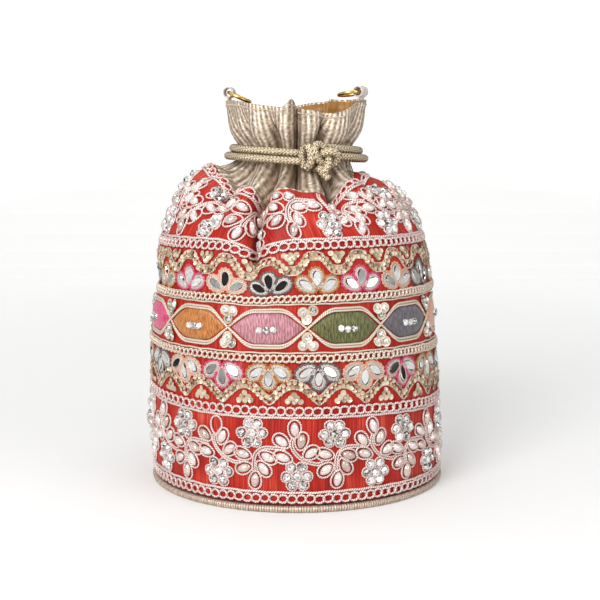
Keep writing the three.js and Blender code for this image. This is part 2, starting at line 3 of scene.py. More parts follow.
import bpy
import numpy as np
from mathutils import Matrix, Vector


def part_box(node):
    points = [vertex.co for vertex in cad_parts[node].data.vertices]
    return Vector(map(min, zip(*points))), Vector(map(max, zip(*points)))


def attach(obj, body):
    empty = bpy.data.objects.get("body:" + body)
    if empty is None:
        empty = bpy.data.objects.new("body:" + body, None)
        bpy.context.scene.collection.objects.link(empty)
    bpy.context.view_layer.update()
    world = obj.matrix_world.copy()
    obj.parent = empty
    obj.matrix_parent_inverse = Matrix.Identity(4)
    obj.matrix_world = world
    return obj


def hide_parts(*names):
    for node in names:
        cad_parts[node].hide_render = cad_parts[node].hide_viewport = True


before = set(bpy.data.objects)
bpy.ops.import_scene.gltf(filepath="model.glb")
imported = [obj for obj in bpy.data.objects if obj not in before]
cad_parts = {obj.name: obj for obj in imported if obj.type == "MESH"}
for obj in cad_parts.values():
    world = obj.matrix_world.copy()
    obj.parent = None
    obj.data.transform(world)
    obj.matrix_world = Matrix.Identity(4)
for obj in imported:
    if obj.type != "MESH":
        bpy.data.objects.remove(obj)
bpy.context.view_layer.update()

# Sizes in millimetres, and angles in degrees from the front, which faces -Y. These repeat the part's source.
BASE_RADIUS = 76
NECK_RADIUS = 29.5
NECK_HEIGHT = 171.5
RIM_RADIUS = 37
RIM_HEIGHT = 200.8
WALL_FOOT = 3.9
WALL_LENGTH = 166
SEAM_WAVE = 8
LEAN = 2.2
SHOULDER_DROP = 4.5
SHOULDER_FOOT = 95
SHOULDER_RUN = 50
CREASE_SAG = 5
SLUMP = 4.5
# Shares by which the bag is flatter front to back at the neck, and again at the rim, and where that starts.
NECK_FLATTER = 0.12
RIM_FLATTER = 0.16
FLATTER_FROM = 142
WALL_THICKNESS = 1.2
COLLAR_THICKNESS = 1.0
LINING_THICKNESS = 0.8
SEWN_GAP = 0.3
# Outline of the wall, as shares of the base radius and of the rise to the neck.
WALL_SHAPE = [
    (1, 0), (1.004, 0.126), (1, 0.276), (0.993, 0.378), (0.968, 0.539), (0.943, 0.665), (0.916, 0.731),
    (0.876, 0.797), (0.812, 0.859), (0.766, 0.892), (0.7, 0.922), (0.618, 0.945), (0.53, 0.959),
    (0.45, 0.972),
]
# Dips of the rim: angle, depth, width.
RIM_DIPS = [(5, 6.5, 60), (33, 3.5, 18), (-145, 6, 42)]
# Folds of the wall: angle, width, depth at the seam, reach down the wall.
WALL_FOLDS = [
    (-80, 18, -2.5, 34), (-60, 6, 4, 18), (-39, 9, 17, 38), (-15, 5, 17, 48), (7.5, 7, 3, 14),
    (24, 7, 14, 32), (52.5, 7, 5, 24), (82.5, 7, 6, 26), (112.5, 8, 10, 36), (142.5, 7, 7, 26),
    (172.5, 8, 11, 40), (202.5, 7, 6, 24), (232.5, 8, 10, 34), (270, 7, 5, 22),
]

# These are the scene's own: finer than the source's facets can follow, or moved to match the real bag.
# Outline of the collar, as shares of its flare and of its height.
COLLAR_SHAPE = [(0.14, 0.13), (0.6, 0.31), (0.88, 0.52)]
# Folds of the collar: angle, width, depth at the neck, depth at the rim. Those at 25 and 60 are moved.
COLLAR_FOLDS = [
    (-75, 8, 5, 0.5), (-52.5, 8, 6, 0.5), (-22.5, 7, 8, 0.5), (0, 6, 9, 9), (25, 7, 9, 0.5), (60, 8, 5, 0.5),
    (90, 8, 5, 0.5), (112.5, 8, 6, 1.5), (142.5, 8, 7, 4), (172.5, 8, 7, 1), (202.5, 8, 6, 3),
    (232.5, 8, 6, 1),
]
# A corner of the silk that runs higher at the seam, and one of the rim that stands up: angle, width, rise.
SEAM_CORNER = (72, 24, 9)
RIM_CORNER = (-7, 3.6, 4.5)
# The deepest crease, on top of the wall's fold there: angle, width, depth at the seam, reach down the wall.
CREASE = (-14.2, 4.2, 18, 60)
CREASE_TURN = 0.0042  # radians a millimetre of depth: the crease runs in towards the left
# Shares of its width by which a fold's lips close, the depth at which they close fully, and how many widths
# from the middle the closing reaches.
COLLAR_PINCH = 0.6
WALL_PINCH = 0.32
CREASE_PINCH = 0.44
CLOSED_DEPTH = 9
LIP_REACH = 1.5
COLLAR_DEEPER = 0.8  # share by which the collar's folds are deeper than the source's
COLLAR_ONSET = 2.6  # the collar's folds are full at one part in this many of the way from seam to neck
SLUMP_TOP = 78
ASKEW = 2.6  # the bands on the shoulder lie up to this much askew
RISE = 3.5  # the low bands rise by up to this much at the left
PITCH = 2 * math.pi * BASE_RADIUS  # width of the cloth, which is one turn
SEED = 41

# Camera, in metres

CAMERA_PLACE = (0.0016, -0.620, 0.171)
CAMERA_DOWN = 7.1  # degrees below level


def add_camera():
    """A camera in front of the bag, looking along +Y and a little down."""
    data = bpy.data.cameras.new("camera")
    data.lens = 69.8
    data.sensor_width = 36
    data.clip_start = 0.01
    camera = bpy.data.objects.new("camera", data)
    camera.location = CAMERA_PLACE
    camera.rotation_euler = (math.radians(90 - CAMERA_DOWN), 0, 0)
    bpy.context.scene.collection.objects.link(camera)
    bpy.context.scene.camera = camera


add_camera()

# The cloth surface


def smooth(t):
    """From 0 to 1 with level ends, as three t squared less two t cubed."""
    t = np.clip(t, 0, 1)
    return t * t * (3 - 2 * t)


def wrap(angle):
    """The angle brought to within half a turn of the front."""
    return (angle + math.pi) % (2 * math.pi) - math.pi


def bell(angle, middle, width):
    """A bell round the bag: one at middle, and about a third at width degrees from it."""
    return np.exp(-((wrap(angle - math.radians(middle)) / math.radians(width)) ** 2))


def hump(value, middle, width):
    """The same bell against any measure."""
    return np.exp(-(((value - middle) / width) ** 2))


def unit(v):
    """Vectors divided by their lengths."""
    return v / np.maximum(np.linalg.norm(v, axis=-1, keepdims=True), 1e-12)


def spline(points, steps):
    """Catmull-Rom curve through the points, steps samples to a span."""
    points = np.asarray(points, float)
    padded = np.vstack([points[:1], points, points[-1:]])
    t = np.linspace(0, 1, steps, endpoint=False)[None, :, None]
    a, b, c, d = (padded[k : len(points) - 1 + k, None, :] for k in range(4))
    v0 = (c - a) / 2
    v1 = (d - b) / 2
    curve = (2 * b - 2 * c + v0 + v1) * t**3 + (-3 * b + 3 * c - 2 * v0 - v1) * t**2 + v0 * t + b
    return np.vstack([curve.reshape(-1, points.shape[1]), points[-1:]])


def meridian_table():
    """Radius and height of the bag's outline against length up the cloth, and the length at the neck."""
    steps = 60
    rise = NECK_HEIGHT - WALL_FOOT
    flare, stand = RIM_RADIUS - NECK_RADIUS, RIM_HEIGHT - NECK_HEIGHT
    points = [(BASE_RADIUS * r, WALL_FOOT + rise * h) for r, h in WALL_SHAPE]
    points.append((NECK_RADIUS, NECK_HEIGHT))
    points += [(NECK_RADIUS + flare * r, NECK_HEIGHT + stand * h) for r, h in COLLAR_SHAPE]
    points.append((RIM_RADIUS, RIM_HEIGHT))
    curve = spline(points, steps)
    length = np.concatenate([[0], np.cumsum(np.hypot(*np.diff(curve, axis=0).T))])
    return length, curve, np.gradient(curve, length, axis=0), length[steps * len(WALL_SHAPE)]


LENGTHS, OUTLINE, TANGENT, NECK_LENGTH = meridian_table()
RIM_LENGTH = LENGTHS[-1]


def seam_at(angle):
    """Length up the cloth at the collar seam: two waves round the bag, and one corner that runs higher."""
    middle, width, rise = SEAM_CORNER
    return WALL_LENGTH - SEAM_WAVE * np.cos(2 * angle) + rise * bell(angle, middle, width)


def rim_at(angle):
    """Length up the cloth at the rim: the whole length less the dips, and one corner that stands up."""
    middle, width, rise = RIM_CORNER
    dip = sum(depth * bell(angle, at, spread) for at, depth, spread in RIM_DIPS)
    return RIM_LENGTH - dip + rise * bell(angle, middle, width)


def to_neck(angle, length):
    """From 0 at the seam to 1 at the neck with level ends, and the same as a plain share."""
    seam = seam_at(angle)
    share = (length - seam) / (NECK_LENGTH - seam)
    return smooth(share), share


def to_rim(length):
    """From 0 at the neck to 1 at the rim."""
    return smooth((length - NECK_LENGTH) / (RIM_LENGTH - NECK_LENGTH))


def gathers(angle, length, collar, crease):
    """Depth of the gathers and the angle that their lips close by: bell-shaped valleys, the wall's deepest
    at the seam and the collar's at the neck, each lip drawn towards the middle of its valley. collar and
    crease are 1 where their own deepening and closing are drawn, and 0 for the source's plain folds."""
    past_seam, share = to_neck(angle, length)
    above = length - seam_at(angle)
    valleys = []
    for middle, width, at_seam, reach in WALL_FOLDS + [CREASE] * crease:
        deep = at_seam * smooth((above + reach) / reach) * (1 - past_seam)
        turn = CREASE_TURN * crease if abs(middle - CREASE[0]) < 1 else 0
        valleys.append((middle, width, deep, crease * (CREASE_PINCH if turn else WALL_PINCH), turn))
    for middle, width, at_neck, at_rim in COLLAR_FOLDS:
        deep = (at_neck + (at_rim - at_neck) * to_rim(length)) * smooth(COLLAR_ONSET * share)
        valleys.append((middle, width, deep * (1 + COLLAR_DEEPER * collar), collar * COLLAR_PINCH, 0))
    depth = closing = 0
    for middle, width, deep, pinch, turn in valleys:
        away = wrap(angle - math.radians(middle)) / math.radians(width)
        pull = pinch * math.radians(width) * np.clip(deep / CLOSED_DEPTH, 0, 1)
        valley = deep * np.exp(-(away**2))
        depth = depth + valley
        closing = closing - pull * away * np.exp(-((away / LIP_REACH) ** 2)) - turn * valley
    return depth, closing


def rumple(angle, length):
    """Small unevenness of handled cloth: slow waves round and up the wall under half a millimetre, a dent
    at the left under the shoulder and a fullness low at the left."""
    low = np.sin(7 * angle + length / 19 + 1.3) * np.sin(length / 13 + 2 * angle)
    fine = np.sin(23 * angle - length / 9) * np.sin(length / 7 + 5 * angle)
    dent = -2.6 * hump(length, 103, 9) + 1.6 * hump(length, 30, 8)
    return 0.45 * low + 0.15 * fine + bell(angle, -88, math.degrees(0.5)) * dent


def depth_ratio(length):
    """Front to back over side to side."""
    at_neck = smooth((length - FLATTER_FROM) / (NECK_LENGTH - FLATTER_FROM))
    return 1 - NECK_FLATTER * at_neck - RIM_FLATTER * to_rim(length)


def shaped(angle, length, lift, collar=1, crease=1):
    """The cloth at an angle round the bag and a length up it, lift off its outer face: the outline turned
    about the axis, pushed in along its own normal by the gathers, flattened front to back above, slumped at
    the right."""
    radius, height, tangent_r, tangent_z = (
        np.interp(length, LENGTHS, column) for column in (*OUTLINE.T, *TANGENT.T)
    )
    depth, closing = gathers(angle, length, collar, crease)
    out = lift - depth + rumple(angle, length) * smooth(length / 12)
    r = radius + tangent_z * out
    bearing = angle + closing
    below_neck = 1 - to_neck(angle, length)[0]
    right = 0.5 + 0.5 * np.sin(angle)
    aside = LEAN * smooth(length / SHOULDER_FOOT) * below_neck
    drop = SHOULDER_DROP * smooth((length - SHOULDER_FOOT) / SHOULDER_RUN) * below_neck * right
    sag = CREASE_SAG * bell(angle, -15, 9) * hump(length, 130, 24)
    settle = SLUMP * right * np.sin(math.pi * np.clip(length / SLUMP_TOP, 0, 1)) * np.sin(angle) ** 2
    return np.stack([
        r * np.sin(bearing) - aside,
        -r * np.cos(bearing) * depth_ratio(length),
        height - tangent_r * out - (drop + sag + settle),
    ], axis=-1)


def angle_table(rows, columns):
    """Angle round the bag against share of the cloth's width, row by row, so that the cloth keeps its width
    where it runs down into a gather: the running length of each pleated ring, scaled to one turn."""
    length = np.linspace(0, RIM_LENGTH, rows)[:, None]
    angle = np.linspace(-math.pi, math.pi, columns)[None, :]
    ring = shaped(angle, np.broadcast_to(length, (rows, columns)), 0, 0, 0)
    run = np.zeros((rows, columns))
    run[:, 1:] = np.cumsum(np.linalg.norm(np.diff(ring, axis=1), axis=2), axis=1)
    run /= run[:, -1:]
    shares = np.linspace(0, 1, columns)
    return np.array([np.interp(shares, row, angle[0]) for row in run])


TABLE_ROWS, TABLE_COLUMNS = 110, 2881
ANGLES = angle_table(TABLE_ROWS, TABLE_COLUMNS)


def angle_of(turn, length):
    """Reads the angle table between its rows and columns, for any whole number of turns."""
    turn, length = np.broadcast_arrays(turn, length)
    whole = np.floor(turn + 0.5)
    column = (turn - whole + 0.5) * (TABLE_COLUMNS - 1)
    row = np.clip(length / RIM_LENGTH, 0, 1) * (TABLE_ROWS - 1)
    c = np.clip(column.astype(int), 0, TABLE_COLUMNS - 2)
    r = np.clip(row.astype(int), 0, TABLE_ROWS - 2)
    fc = column - c
    fr = row - r
    low = ANGLES[r, c] * (1 - fc) + ANGLES[r, c + 1] * fc
    high = ANGLES[r + 1, c] * (1 - fc) + ANGLES[r + 1, c + 1] * fc
    return low * (1 - fr) + high * fr + 2 * math.pi * whole


def cloth(turn, length):
    """The cloth's outer face at a share of its width and a length up it."""
    return shaped(angle_of(turn, length), length, 0.0)


def lay(x, length, lift):
    """Points x millimetres round the cloth and length up it, lift off it, with their across, up and out
    axes. The bands that they lie in run askew on the shoulder and rise low at the left."""
    x, length = np.broadcast_arrays(x, length)
    turn = x / PITCH
    angle = wrap(2 * math.pi * turn)
    low = smooth(length / 25) * (1 - smooth((length - 45) / 55))
    askew = ASKEW * np.sin(angle) * hump(length, 127, 20)
    length = length + askew + RISE * bell(angle, -105, 40) * low
    round_step, up_step = 0.0009, 0.4
    across = unit(cloth(turn + round_step, length) - cloth(turn - round_step, length))
    up = cloth(turn, length + up_step) - cloth(turn, length - up_step)
    out = unit(np.cross(across, up))
    return cloth(turn, length) + np.asarray(lift)[..., None] * out, across, np.cross(out, across), out


# Meshes. A mesh in hand is (points, faces, corner coordinates); faces are whole arrays of triangles or quads.


def circle(count):
    """Angles of count points evenly round a circle."""
    return 2 * math.pi * np.arange(count) / count


def grid_faces(rows, columns, around):
    """Quads of a grid of rows by columns, the columns closed round where around is set, and their corners'
    rows and columns."""
    r, c = np.meshgrid(np.arange(rows - 1), np.arange(columns if around else columns - 1), indexing="ij")
    r, c = r.ravel(), c.ravel()
    corners = np.stack([r, r, r + 1, r + 1], 1), np.stack([c, c + 1, c + 1, c], 1)
    return corners[0] * columns + corners[1] % columns, corners


def fan(count, start, middle, below=False):
    """Triangles from a ring of count points, numbered from start, to a middle point, facing up or below."""
    k = np.arange(count)
    after = (k + 1) % count
    first, second = (after, k) if below else (k, after)
    return np.stack([first + start, second + start, np.full(count, middle)], 1)


def tubes(points, outs, radius, sides, closed, taper=None, relief=None):
    """Round cords along many paths at once: a circle of sides points carried along each path, its sense of
    up taken from outs. Open ends are closed by a fan to a point. relief scales the radius by millimetres
    along and turns round, which are the corner coordinates too."""
    count, steps = points.shape[:2]
    if closed:
        ahead = np.roll(points, -1, 1) - np.roll(points, 1, 1)
    else:
        ahead = np.gradient(points, axis=1)
    ahead = unit(ahead)
    side = unit(np.cross(outs, ahead))[:, :, None, :]
    lift = np.cross(ahead, side[:, :, 0])[:, :, None, :]
    a = circle(sides)
    run = np.zeros((count, steps + 1))
    hops = np.linalg.norm(np.diff(points, axis=1, append=points[:, :1]), axis=2)
    run[:, 1:] = np.cumsum(hops, axis=1)
    size = radius * (np.ones(steps) if taper is None else taper)[None, :, None, None]
    if relief:
        size = size * relief(run[:, :steps, None], a / 2 / math.pi)[..., None]
    ring = points[:, :, None, :] + size * (np.cos(a)[:, None] * side + np.sin(a)[:, None] * lift)
    _, (r, c) = grid_faces(steps + 1 if closed else steps, sides, True)
    offset = (steps * sides + (0 if closed else 2)) * np.arange(count)[:, None, None]
    quads = ((r % steps) * sides + c % sides + offset).reshape(-1, 4)
    uv = np.stack([run[:, r], np.broadcast_to(c / sides, (count,) + c.shape)], -1).reshape(-1, 4, 2)
    verts = ring.reshape(count, -1, 3)
    if closed:
        return [(verts.reshape(-1, 3), quads, uv)]
    verts = np.concatenate([verts, points[:, :1], points[:, -1:]], 1)
    last = steps * sides
    ends = np.concatenate([fan(sides, 0, last, True), fan(sides, last - sides, last + 1)])
    ends = (ends + offset).reshape(-1, 3)
    return [(verts.reshape(-1, 3), quads, uv), (np.zeros((0, 3)), ends, np.zeros((len(ends), 3, 2)))]


def shell(outer, inner, uv):
    """A closed cloth of two grids, outer and inner (rows by columns), closed round and joined at both edges.
    uv gives the corner coordinates of the grid with one column more, so that the join has its own."""
    rows, columns = outer.shape[:2]
    faces, (r, c) = grid_faces(rows, columns, True)
    corner_uv = uv[r, c]
    n = rows * columns
    k = np.arange(columns)
    after = (k + 1) % columns
    low = np.stack([after, k, k + n, after + n], 1)
    high = np.stack([k, after, after + n, k + n], 1) + (rows - 1) * columns
    low_uv = np.stack([uv[0, k + 1], uv[0, k], uv[0, k], uv[0, k + 1]], 1)
    high_uv = np.stack([uv[-1, k], uv[-1, k + 1], uv[-1, k + 1], uv[-1, k]], 1)
    verts = np.concatenate([outer.reshape(-1, 3), inner.reshape(-1, 3)])
    quads = np.concatenate([faces, faces[:, ::-1] + n, low, high])
    return [(verts, quads, np.concatenate([corner_uv, corner_uv[:, ::-1], low_uv, high_uv]))]


def copies(shape, place, axes, rings=None):
    """The shape (points, list of face arrays) at every place, turned to its axes (across, up, out). Each
    face's corner coordinates are two chances, one of the face and one of the copy, for the materials to
    vary by; rings gives each list of faces a tone in place of the face's chance."""
    points, face_lists = shape
    verts = place[:, None] + sum(points[None, :, k : k + 1] * axes[k][:, None] for k in range(3))
    chance = np.random.default_rng(SEED)
    own = chance.random(len(place))
    made = []
    for k, faces in enumerate(face_lists):
        many = (faces[None] + len(points) * np.arange(len(place))[:, None, None]).reshape(-1, faces.shape[1])
        uv = np.empty(many.shape + (2,))
        uv[..., 0] = chance.random(len(many))[:, None] if rings is None else rings[k]
        uv[..., 1] = np.repeat(own, len(faces))[:, None]
        made.append((np.zeros((0, 3)) if k else verts.reshape(-1, 3), many, uv))
    return made


def spin(axes, angle):
    """The axes turned by an angle in their own across-up plane."""
    across, up, out = axes
    c, s = np.cos(angle)[..., None], np.sin(angle)[..., None]
    return across * c + up * s, up * c - across * s, out


def face(axes, out):
    """The axes turned to face along out, with up kept as near as may be."""
    across = unit(np.cross(axes[1], out))
    return across, np.cross(out, across), out


def tip(axes, lean, sway):
    """The axes leaned a little out of their plane, as hand-sewn pieces sit."""
    across, up, out = axes
    return face(axes, unit(out + lean[:, None] * across + sway[:, None] * up))


def build(name, meshes, material, nodes=(), body="bag", flat_faces=False):
    """One object from meshes in hand. A mesh with no points of its own goes on from the points before it."""
    verts, faces, uvs = [], [], []
    start = total = 0
    for points, polygons, uv in meshes:
        if len(points):
            start = total
            total += len(points)
            verts.append(points)
        faces.append(polygons + start)
        uvs.append(uv.reshape(-1, 2))
    verts = np.concatenate(verts) * 0.001
    sizes = np.concatenate([np.full(len(f), f.shape[1]) for f in faces])
    corners = np.concatenate([f.ravel() for f in faces])
    mesh = bpy.data.meshes.new(name)
    mesh.vertices.add(len(verts))
    mesh.vertices.foreach_set("co", verts.ravel().astype(np.float32))
    mesh.loops.add(len(corners))
    mesh.loops.foreach_set("vertex_index", corners.astype(np.int32))
    mesh.polygons.add(len(sizes))
    mesh.polygons.foreach_set("loop_start", (np.cumsum(sizes) - sizes).astype(np.int32))
    mesh.polygons.foreach_set("use_smooth", np.full(len(sizes), not flat_faces))
    mesh.update(calc_edges=True)
    layer = mesh.uv_layers.new(name="cloth")
    layer.data.foreach_set("uv", np.concatenate(uvs).ravel().astype(np.float32))
    mesh.validate()
    mesh.materials.append(material)
    piece = bpy.data.objects.new(name, mesh)
    bpy.context.scene.collection.objects.link(piece)
    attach(piece, body)
    if nodes:
        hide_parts(*nodes)
    return piece


# Materials. Patterns on cloth and cords follow their corner coordinates, in millimetres.


def rgb(code):
    """A colour written as sRGB hex, in the linear light that shader sockets take."""
    v = np.array([int(code[k : k + 2], 16) / 255 for k in (0, 2, 4)])
    v = np.where(v <= 0.04045, v / 12.92, ((v + 0.055) / 1.055) ** 2.4)
    return (*v, 1.0)


def fill(tree, node, inputs):
    """Sets each input of a node to a value, or links it to a socket."""
    for key, value in inputs.items():
        if isinstance(value, bpy.types.NodeSocket):
            tree.links.new(value, node.inputs[key])
        else:
            node.inputs[key].default_value = value


def add(tree, kind, inputs=None, output=0, stops=(), **settings):
    """Adds one node with its settings, its colour stops and its inputs, and gives one of its outputs."""
    node = tree.nodes.new("ShaderNode" + kind)
    for key, value in settings.items():
        setattr(node, key, value)
    for _ in stops[2:]:
        node.color_ramp.elements.new(0.5)
    for k, (place, code) in enumerate(stops):
        node.color_ramp.elements[k].position = place
        node.color_ramp.elements[k].color = rgb(code)
    fill(tree, node, inputs or {})
    return node.outputs[output]


def blend(tree, *parts, plus=0.0):
    """The sum of sockets, each times its number, and one number more."""
    for socket, share in parts:
        plus = add(tree, "Math", {0: socket, 1: share, 2: plus}, operation="MULTIPLY_ADD")
    return plus


def ripple(tree, *parts):
    """Waves from 0 to 1, as half a sine of the blended parts and a half."""
    return blend(tree, (add(tree, "Math", {0: blend(tree, *parts)}, operation="SINE"), 0.5), plus=0.5)


def streaks(tree, place, across, up, detail=3.0):
    """Noise drawn out into streaks, across and up giving its grains to a millimetre each way."""
    place = add(tree, "Mapping", {"Vector": place, "Scale": (across, up, 1)})
    return add(tree, "TexNoise", {"Vector": place, "Scale": 1.0, "Detail": detail})


def begin(name):
    """A new material and its node tree."""
    material = bpy.data.materials.new(name)
    material.use_nodes = True
    return material, material.node_tree


def dress(material, tone, stops, relief, looks):
    """Finishes a material: its colour by tone along the stops, its relief as a height, a depth in metres
    and a strength, and the plain values of its looks."""
    tree = material.node_tree
    looks["Base Color"] = add(tree, "ValToRGB", {"Fac": tone}, stops=stops)
    if relief:
        looks["Normal"] = add(tree, "Bump", dict(zip(("Height", "Distance", "Strength"), relief)))
    fill(tree, tree.nodes["Principled BSDF"], looks)
    return material


def raw_silk():
    """Hand-woven raw silk, red warp with a paler weft: slubs streak it up and down and give a soft cross
    sheen. The palest streaks are partly the slubs' own colour and partly painted sheen."""
    material, tree = begin("raw silk, hand woven with slubs")
    place = add(tree, "UVMap", uv_map="cloth")
    slub_and_sheen = streaks(tree, place, 1.4, 0.035)
    cloud = streaks(tree, place, 0.05, 0.04, 2.0)
    weft = streaks(tree, place, 0.25, 2.2, 2.0)
    # The palest stop is partly the slubs' own colour and partly painted sheen on the streaks.
    stops = [(0.34, "7E130B"), (0.49, "AC2114"), (0.57, "BC3120"), (0.69, "D46A56")]
    relief = blend(tree, (slub_and_sheen, 1.0), (weft, 1.0))
    return dress(material, blend(tree, (slub_and_sheen, 0.6), (cloud, 0.4)), stops, (relief, 0.0002, 0.5), {
        "Roughness": 0.5, "Specular IOR Level": 0.25,
        "Sheen Weight": 0.08, "Sheen Roughness": 0.4, "Sheen Tint": rgb("E8806A"),
    })


def lurex(name, rib, *colours):
    """A woven metallic yarn in upright ribs: each rib's crown is painted lighter as painted highlight and its
    valley darker as painted shade, and flecks of flat metal yarn are painted as bright glints along it. The
    rib's real pitch is kept; the flecks are drawn coarser than the yarn."""
    material, tree = begin(name)
    place = add(tree, "UVMap", uv_map="cloth")
    x = add(tree, "SeparateXYZ", {0: place}, "X")
    drift = streaks(tree, place, 0.25, 0.04, 2.0)
    # Painted highlight and shade: each rib's crown is lighter in colour and its valley darker.
    crown = ripple(tree, (x, 2 * math.pi / rib), (drift, 1.6))
    # Painted glints: bright flecks along the ribs.
    fleck_glint = blend(tree, (streaks(tree, place, 1.0, 0.6, 1.0), 2.8), plus=-1.0)
    tone = blend(tree, (crown, 0.54), (fleck_glint, 0.38))
    stops = list(zip((0.02, 0.36, 0.62, 0.86), colours))
    return dress(material, tone, stops, (tone, 0.0005, 0.65), {"Metallic": 0.35, "Roughness": 0.42})


def dori(name, pitch, *colours):
    """Fine metallic thread spun round a cotton core: the twist is painted as slanting stripes, light on its
    crowns as painted highlight and dark in its grooves as painted shade.
    """
    material, tree = begin(name)
    place = add(tree, "UVMap", uv_map="cloth")
    along, around = (add(tree, "SeparateXYZ", {0: place}, axis) for axis in "XY")
    # Painted highlight and shade of the twist: its crowns lighter in colour, its grooves darker.
    twist_light_and_shade = ripple(tree, (along, 2 * math.pi / pitch), (around, 4 * math.pi))
    tone = blend(tree, (twist_light_and_shade, 0.6), (streaks(tree, place, 1.5, 6.0), 0.45))
    stops = list(zip((0.15, 0.45, 0.8), colours))
    return dress(material, tone, stops, (tone, 0.0003, 0.7), {"Metallic": 0.25, "Roughness": 0.38})


def cut_pieces(name, stops, metallic, roughness, coat=0.0):
    """Small cut or punched pieces: each facet, and each piece, takes its own tone from its two chances."""
    material, tree = begin(name)
    place = add(tree, "UVMap", uv_map="cloth")
    facet, own = (add(tree, "SeparateXYZ", {0: place}, axis) for axis in "XY")
    return dress(material, blend(tree, (facet, 0.65), (own, 0.35)), stops, None, {
        "Metallic": metallic, "Roughness": roughness, "Coat Weight": coat, "Coat Roughness": 0.05,
    })


def grain(tree, scale, detail):
    """Noise in the object's own coordinates, scale grains to a metre."""
    place = add(tree, "TexCoord", output="Object")
    return add(tree, "TexNoise", {"Vector": place, "Scale": scale, "Detail": detail})


def pearl_glass():
    """Moulded glass with a pearl lacquer: milky cream under a hard clear coat, each bead a shade warmer or
    pinker."""
    material, tree = begin("pearl lacquered glass, moulded")
    own = add(tree, "SeparateXYZ", {0: add(tree, "UVMap", uv_map="cloth")}, "Y")
    stops = [(0.2, "BCA296"), (0.42, "DCC8BE"), (0.6, "F6ECE6"), (0.8, "E6D2CE")]
    return dress(material, blend(tree, (own, 0.5), (grain(tree, 320.0, 2.0), 0.5)), stops, None, {
        "Metallic": 0.5, "Roughness": 0.18, "Coat Weight": 0.8, "Coat Roughness": 0.06,
        "Subsurface Weight": 0.1, "Subsurface Scale": 0.001,
    })


def floss(name, *colours):
    """Untwisted silk floss in padded satin stitch: upright strands side by side, each with its own shade
    and sheen. The strands are drawn half again as coarse as real floss so that they show."""
    material, tree = begin(name)
    place = add(tree, "UVMap", uv_map="cloth")
    x = add(tree, "SeparateXYZ", {0: place}, "X")
    strand = streaks(tree, place, 1.9, 0.3)
    wave = add(tree, "Math", {0: blend(tree, (x, 8.4), (strand, 5.0))}, operation="SINE")
    tone = blend(tree, (wave, 0.16), (strand, 1.0))
    stops = list(zip((0.36, 0.52, 0.7), colours))
    return dress(material, tone, stops, (tone, 0.0003, 0.8), {"Roughness": 0.36, "Sheen Weight": 0.2})


STITCH = 1.9  # a knitted row of the drawstring, in millimetres
WALES = 7


def knitted(name, *colours):
    """A tube knitted from flat gold yarn: rows of small V stitches, painted bright on the loops as painted
    highlight and dark in the gaps as painted shade."""
    material, tree = begin(name)
    place = add(tree, "UVMap", uv_map="cloth")
    along, around = (add(tree, "SeparateXYZ", {0: place}, axis) for axis in "XY")
    wale = add(tree, "Math", {0: blend(tree, (around, WALES)), 1: 0.5}, operation="PINGPONG")
    # Painted highlight on the loops, and on the next line painted shade at the edges of each wale.
    loop = ripple(tree, (along, 2 * math.pi / STITCH), (wale, 2.6 * math.pi))
    wale_shade = add(tree, "Math", {0: blend(tree, (wale, 2 * math.pi))}, operation="SINE")
    tone = blend(tree, (loop, 0.44), (wale_shade, 0.44), (streaks(tree, place, 1.2, 14.0), 0.26))
    stops = list(zip((0.18, 0.42, 0.66, 0.86), colours))
    return dress(material, tone, stops, (tone, 0.0006, 0.9), {"Metallic": 0.45, "Roughness": 0.36})


def plain_grain(name, stops, scale, metallic, roughness, depth, sheen=0.0):
    """A surface with a fine grain, its tone and relief from one noise."""
    material, tree = begin(name)
    tone = grain(tree, scale, 4.0)
    return dress(material, tone, stops, (tone, depth, 0.5), {
        "Metallic": metallic, "Roughness": roughness, "Sheen Weight": sheen,
    })


def satin():
    """Woven lining satin: smooth and lustrous, with soft upright creases from the gathers, painted into its
    colour as dark streaks of painted shade and paler streaks of painted sheen.
    """
    material, tree = begin("lining satin, warp faced")
    place = add(tree, "UVMap", uv_map="cloth")
    # Painted shade and sheen: upright streaks standing for the creases.
    crease = streaks(tree, place, 0.22, 0.03, 2.0)
    weave = streaks(tree, place, 3.0, 0.6, 2.0)
    tone = blend(tree, (crease, 0.7), (weave, 0.3))
    stops = [(0.3, "7C5119"), (0.5, "A3722C"), (0.72, "C49548")]
    return dress(material, tone, stops, (tone, 0.0005, 0.6), {"Roughness": 0.4, "Sheen Weight": 0.2})


SILK = raw_silk()
# The lurex colours: painted shade in the rib valleys, the cloth's own colour, painted highlight on the crowns
# and white painted glints.
COLLAR_CLOTH = lurex("champagne lurex, woven in ribs", 2.1, "7C6855", "B9A58F", "D6C6B3", "FFF8EE")
PIPING_CLOTH = lurex("piping, lurex cut on the bias", 1.3, "8C7464", "BCA492", "D6C2B0", "F0E2D4")
SATIN = satin()
# The dori colours: painted shade in the twist's grooves, the thread's own colour, painted highlight on its
# crowns.
PINK_DORI = dori("dori cord, spun pink metallic thread", 1.3, "94625F", "EAC8C1", "FFF3EE")
GOLD_DORI = dori("dori cord, spun pale gold thread", 1.2, "84674E", "E2CAB2", "FFF5E8")
SILVER_DORI = dori("dori cord, spun silver cream thread", 1.2, "75675B", "CFC2B3", "FAF4EC")
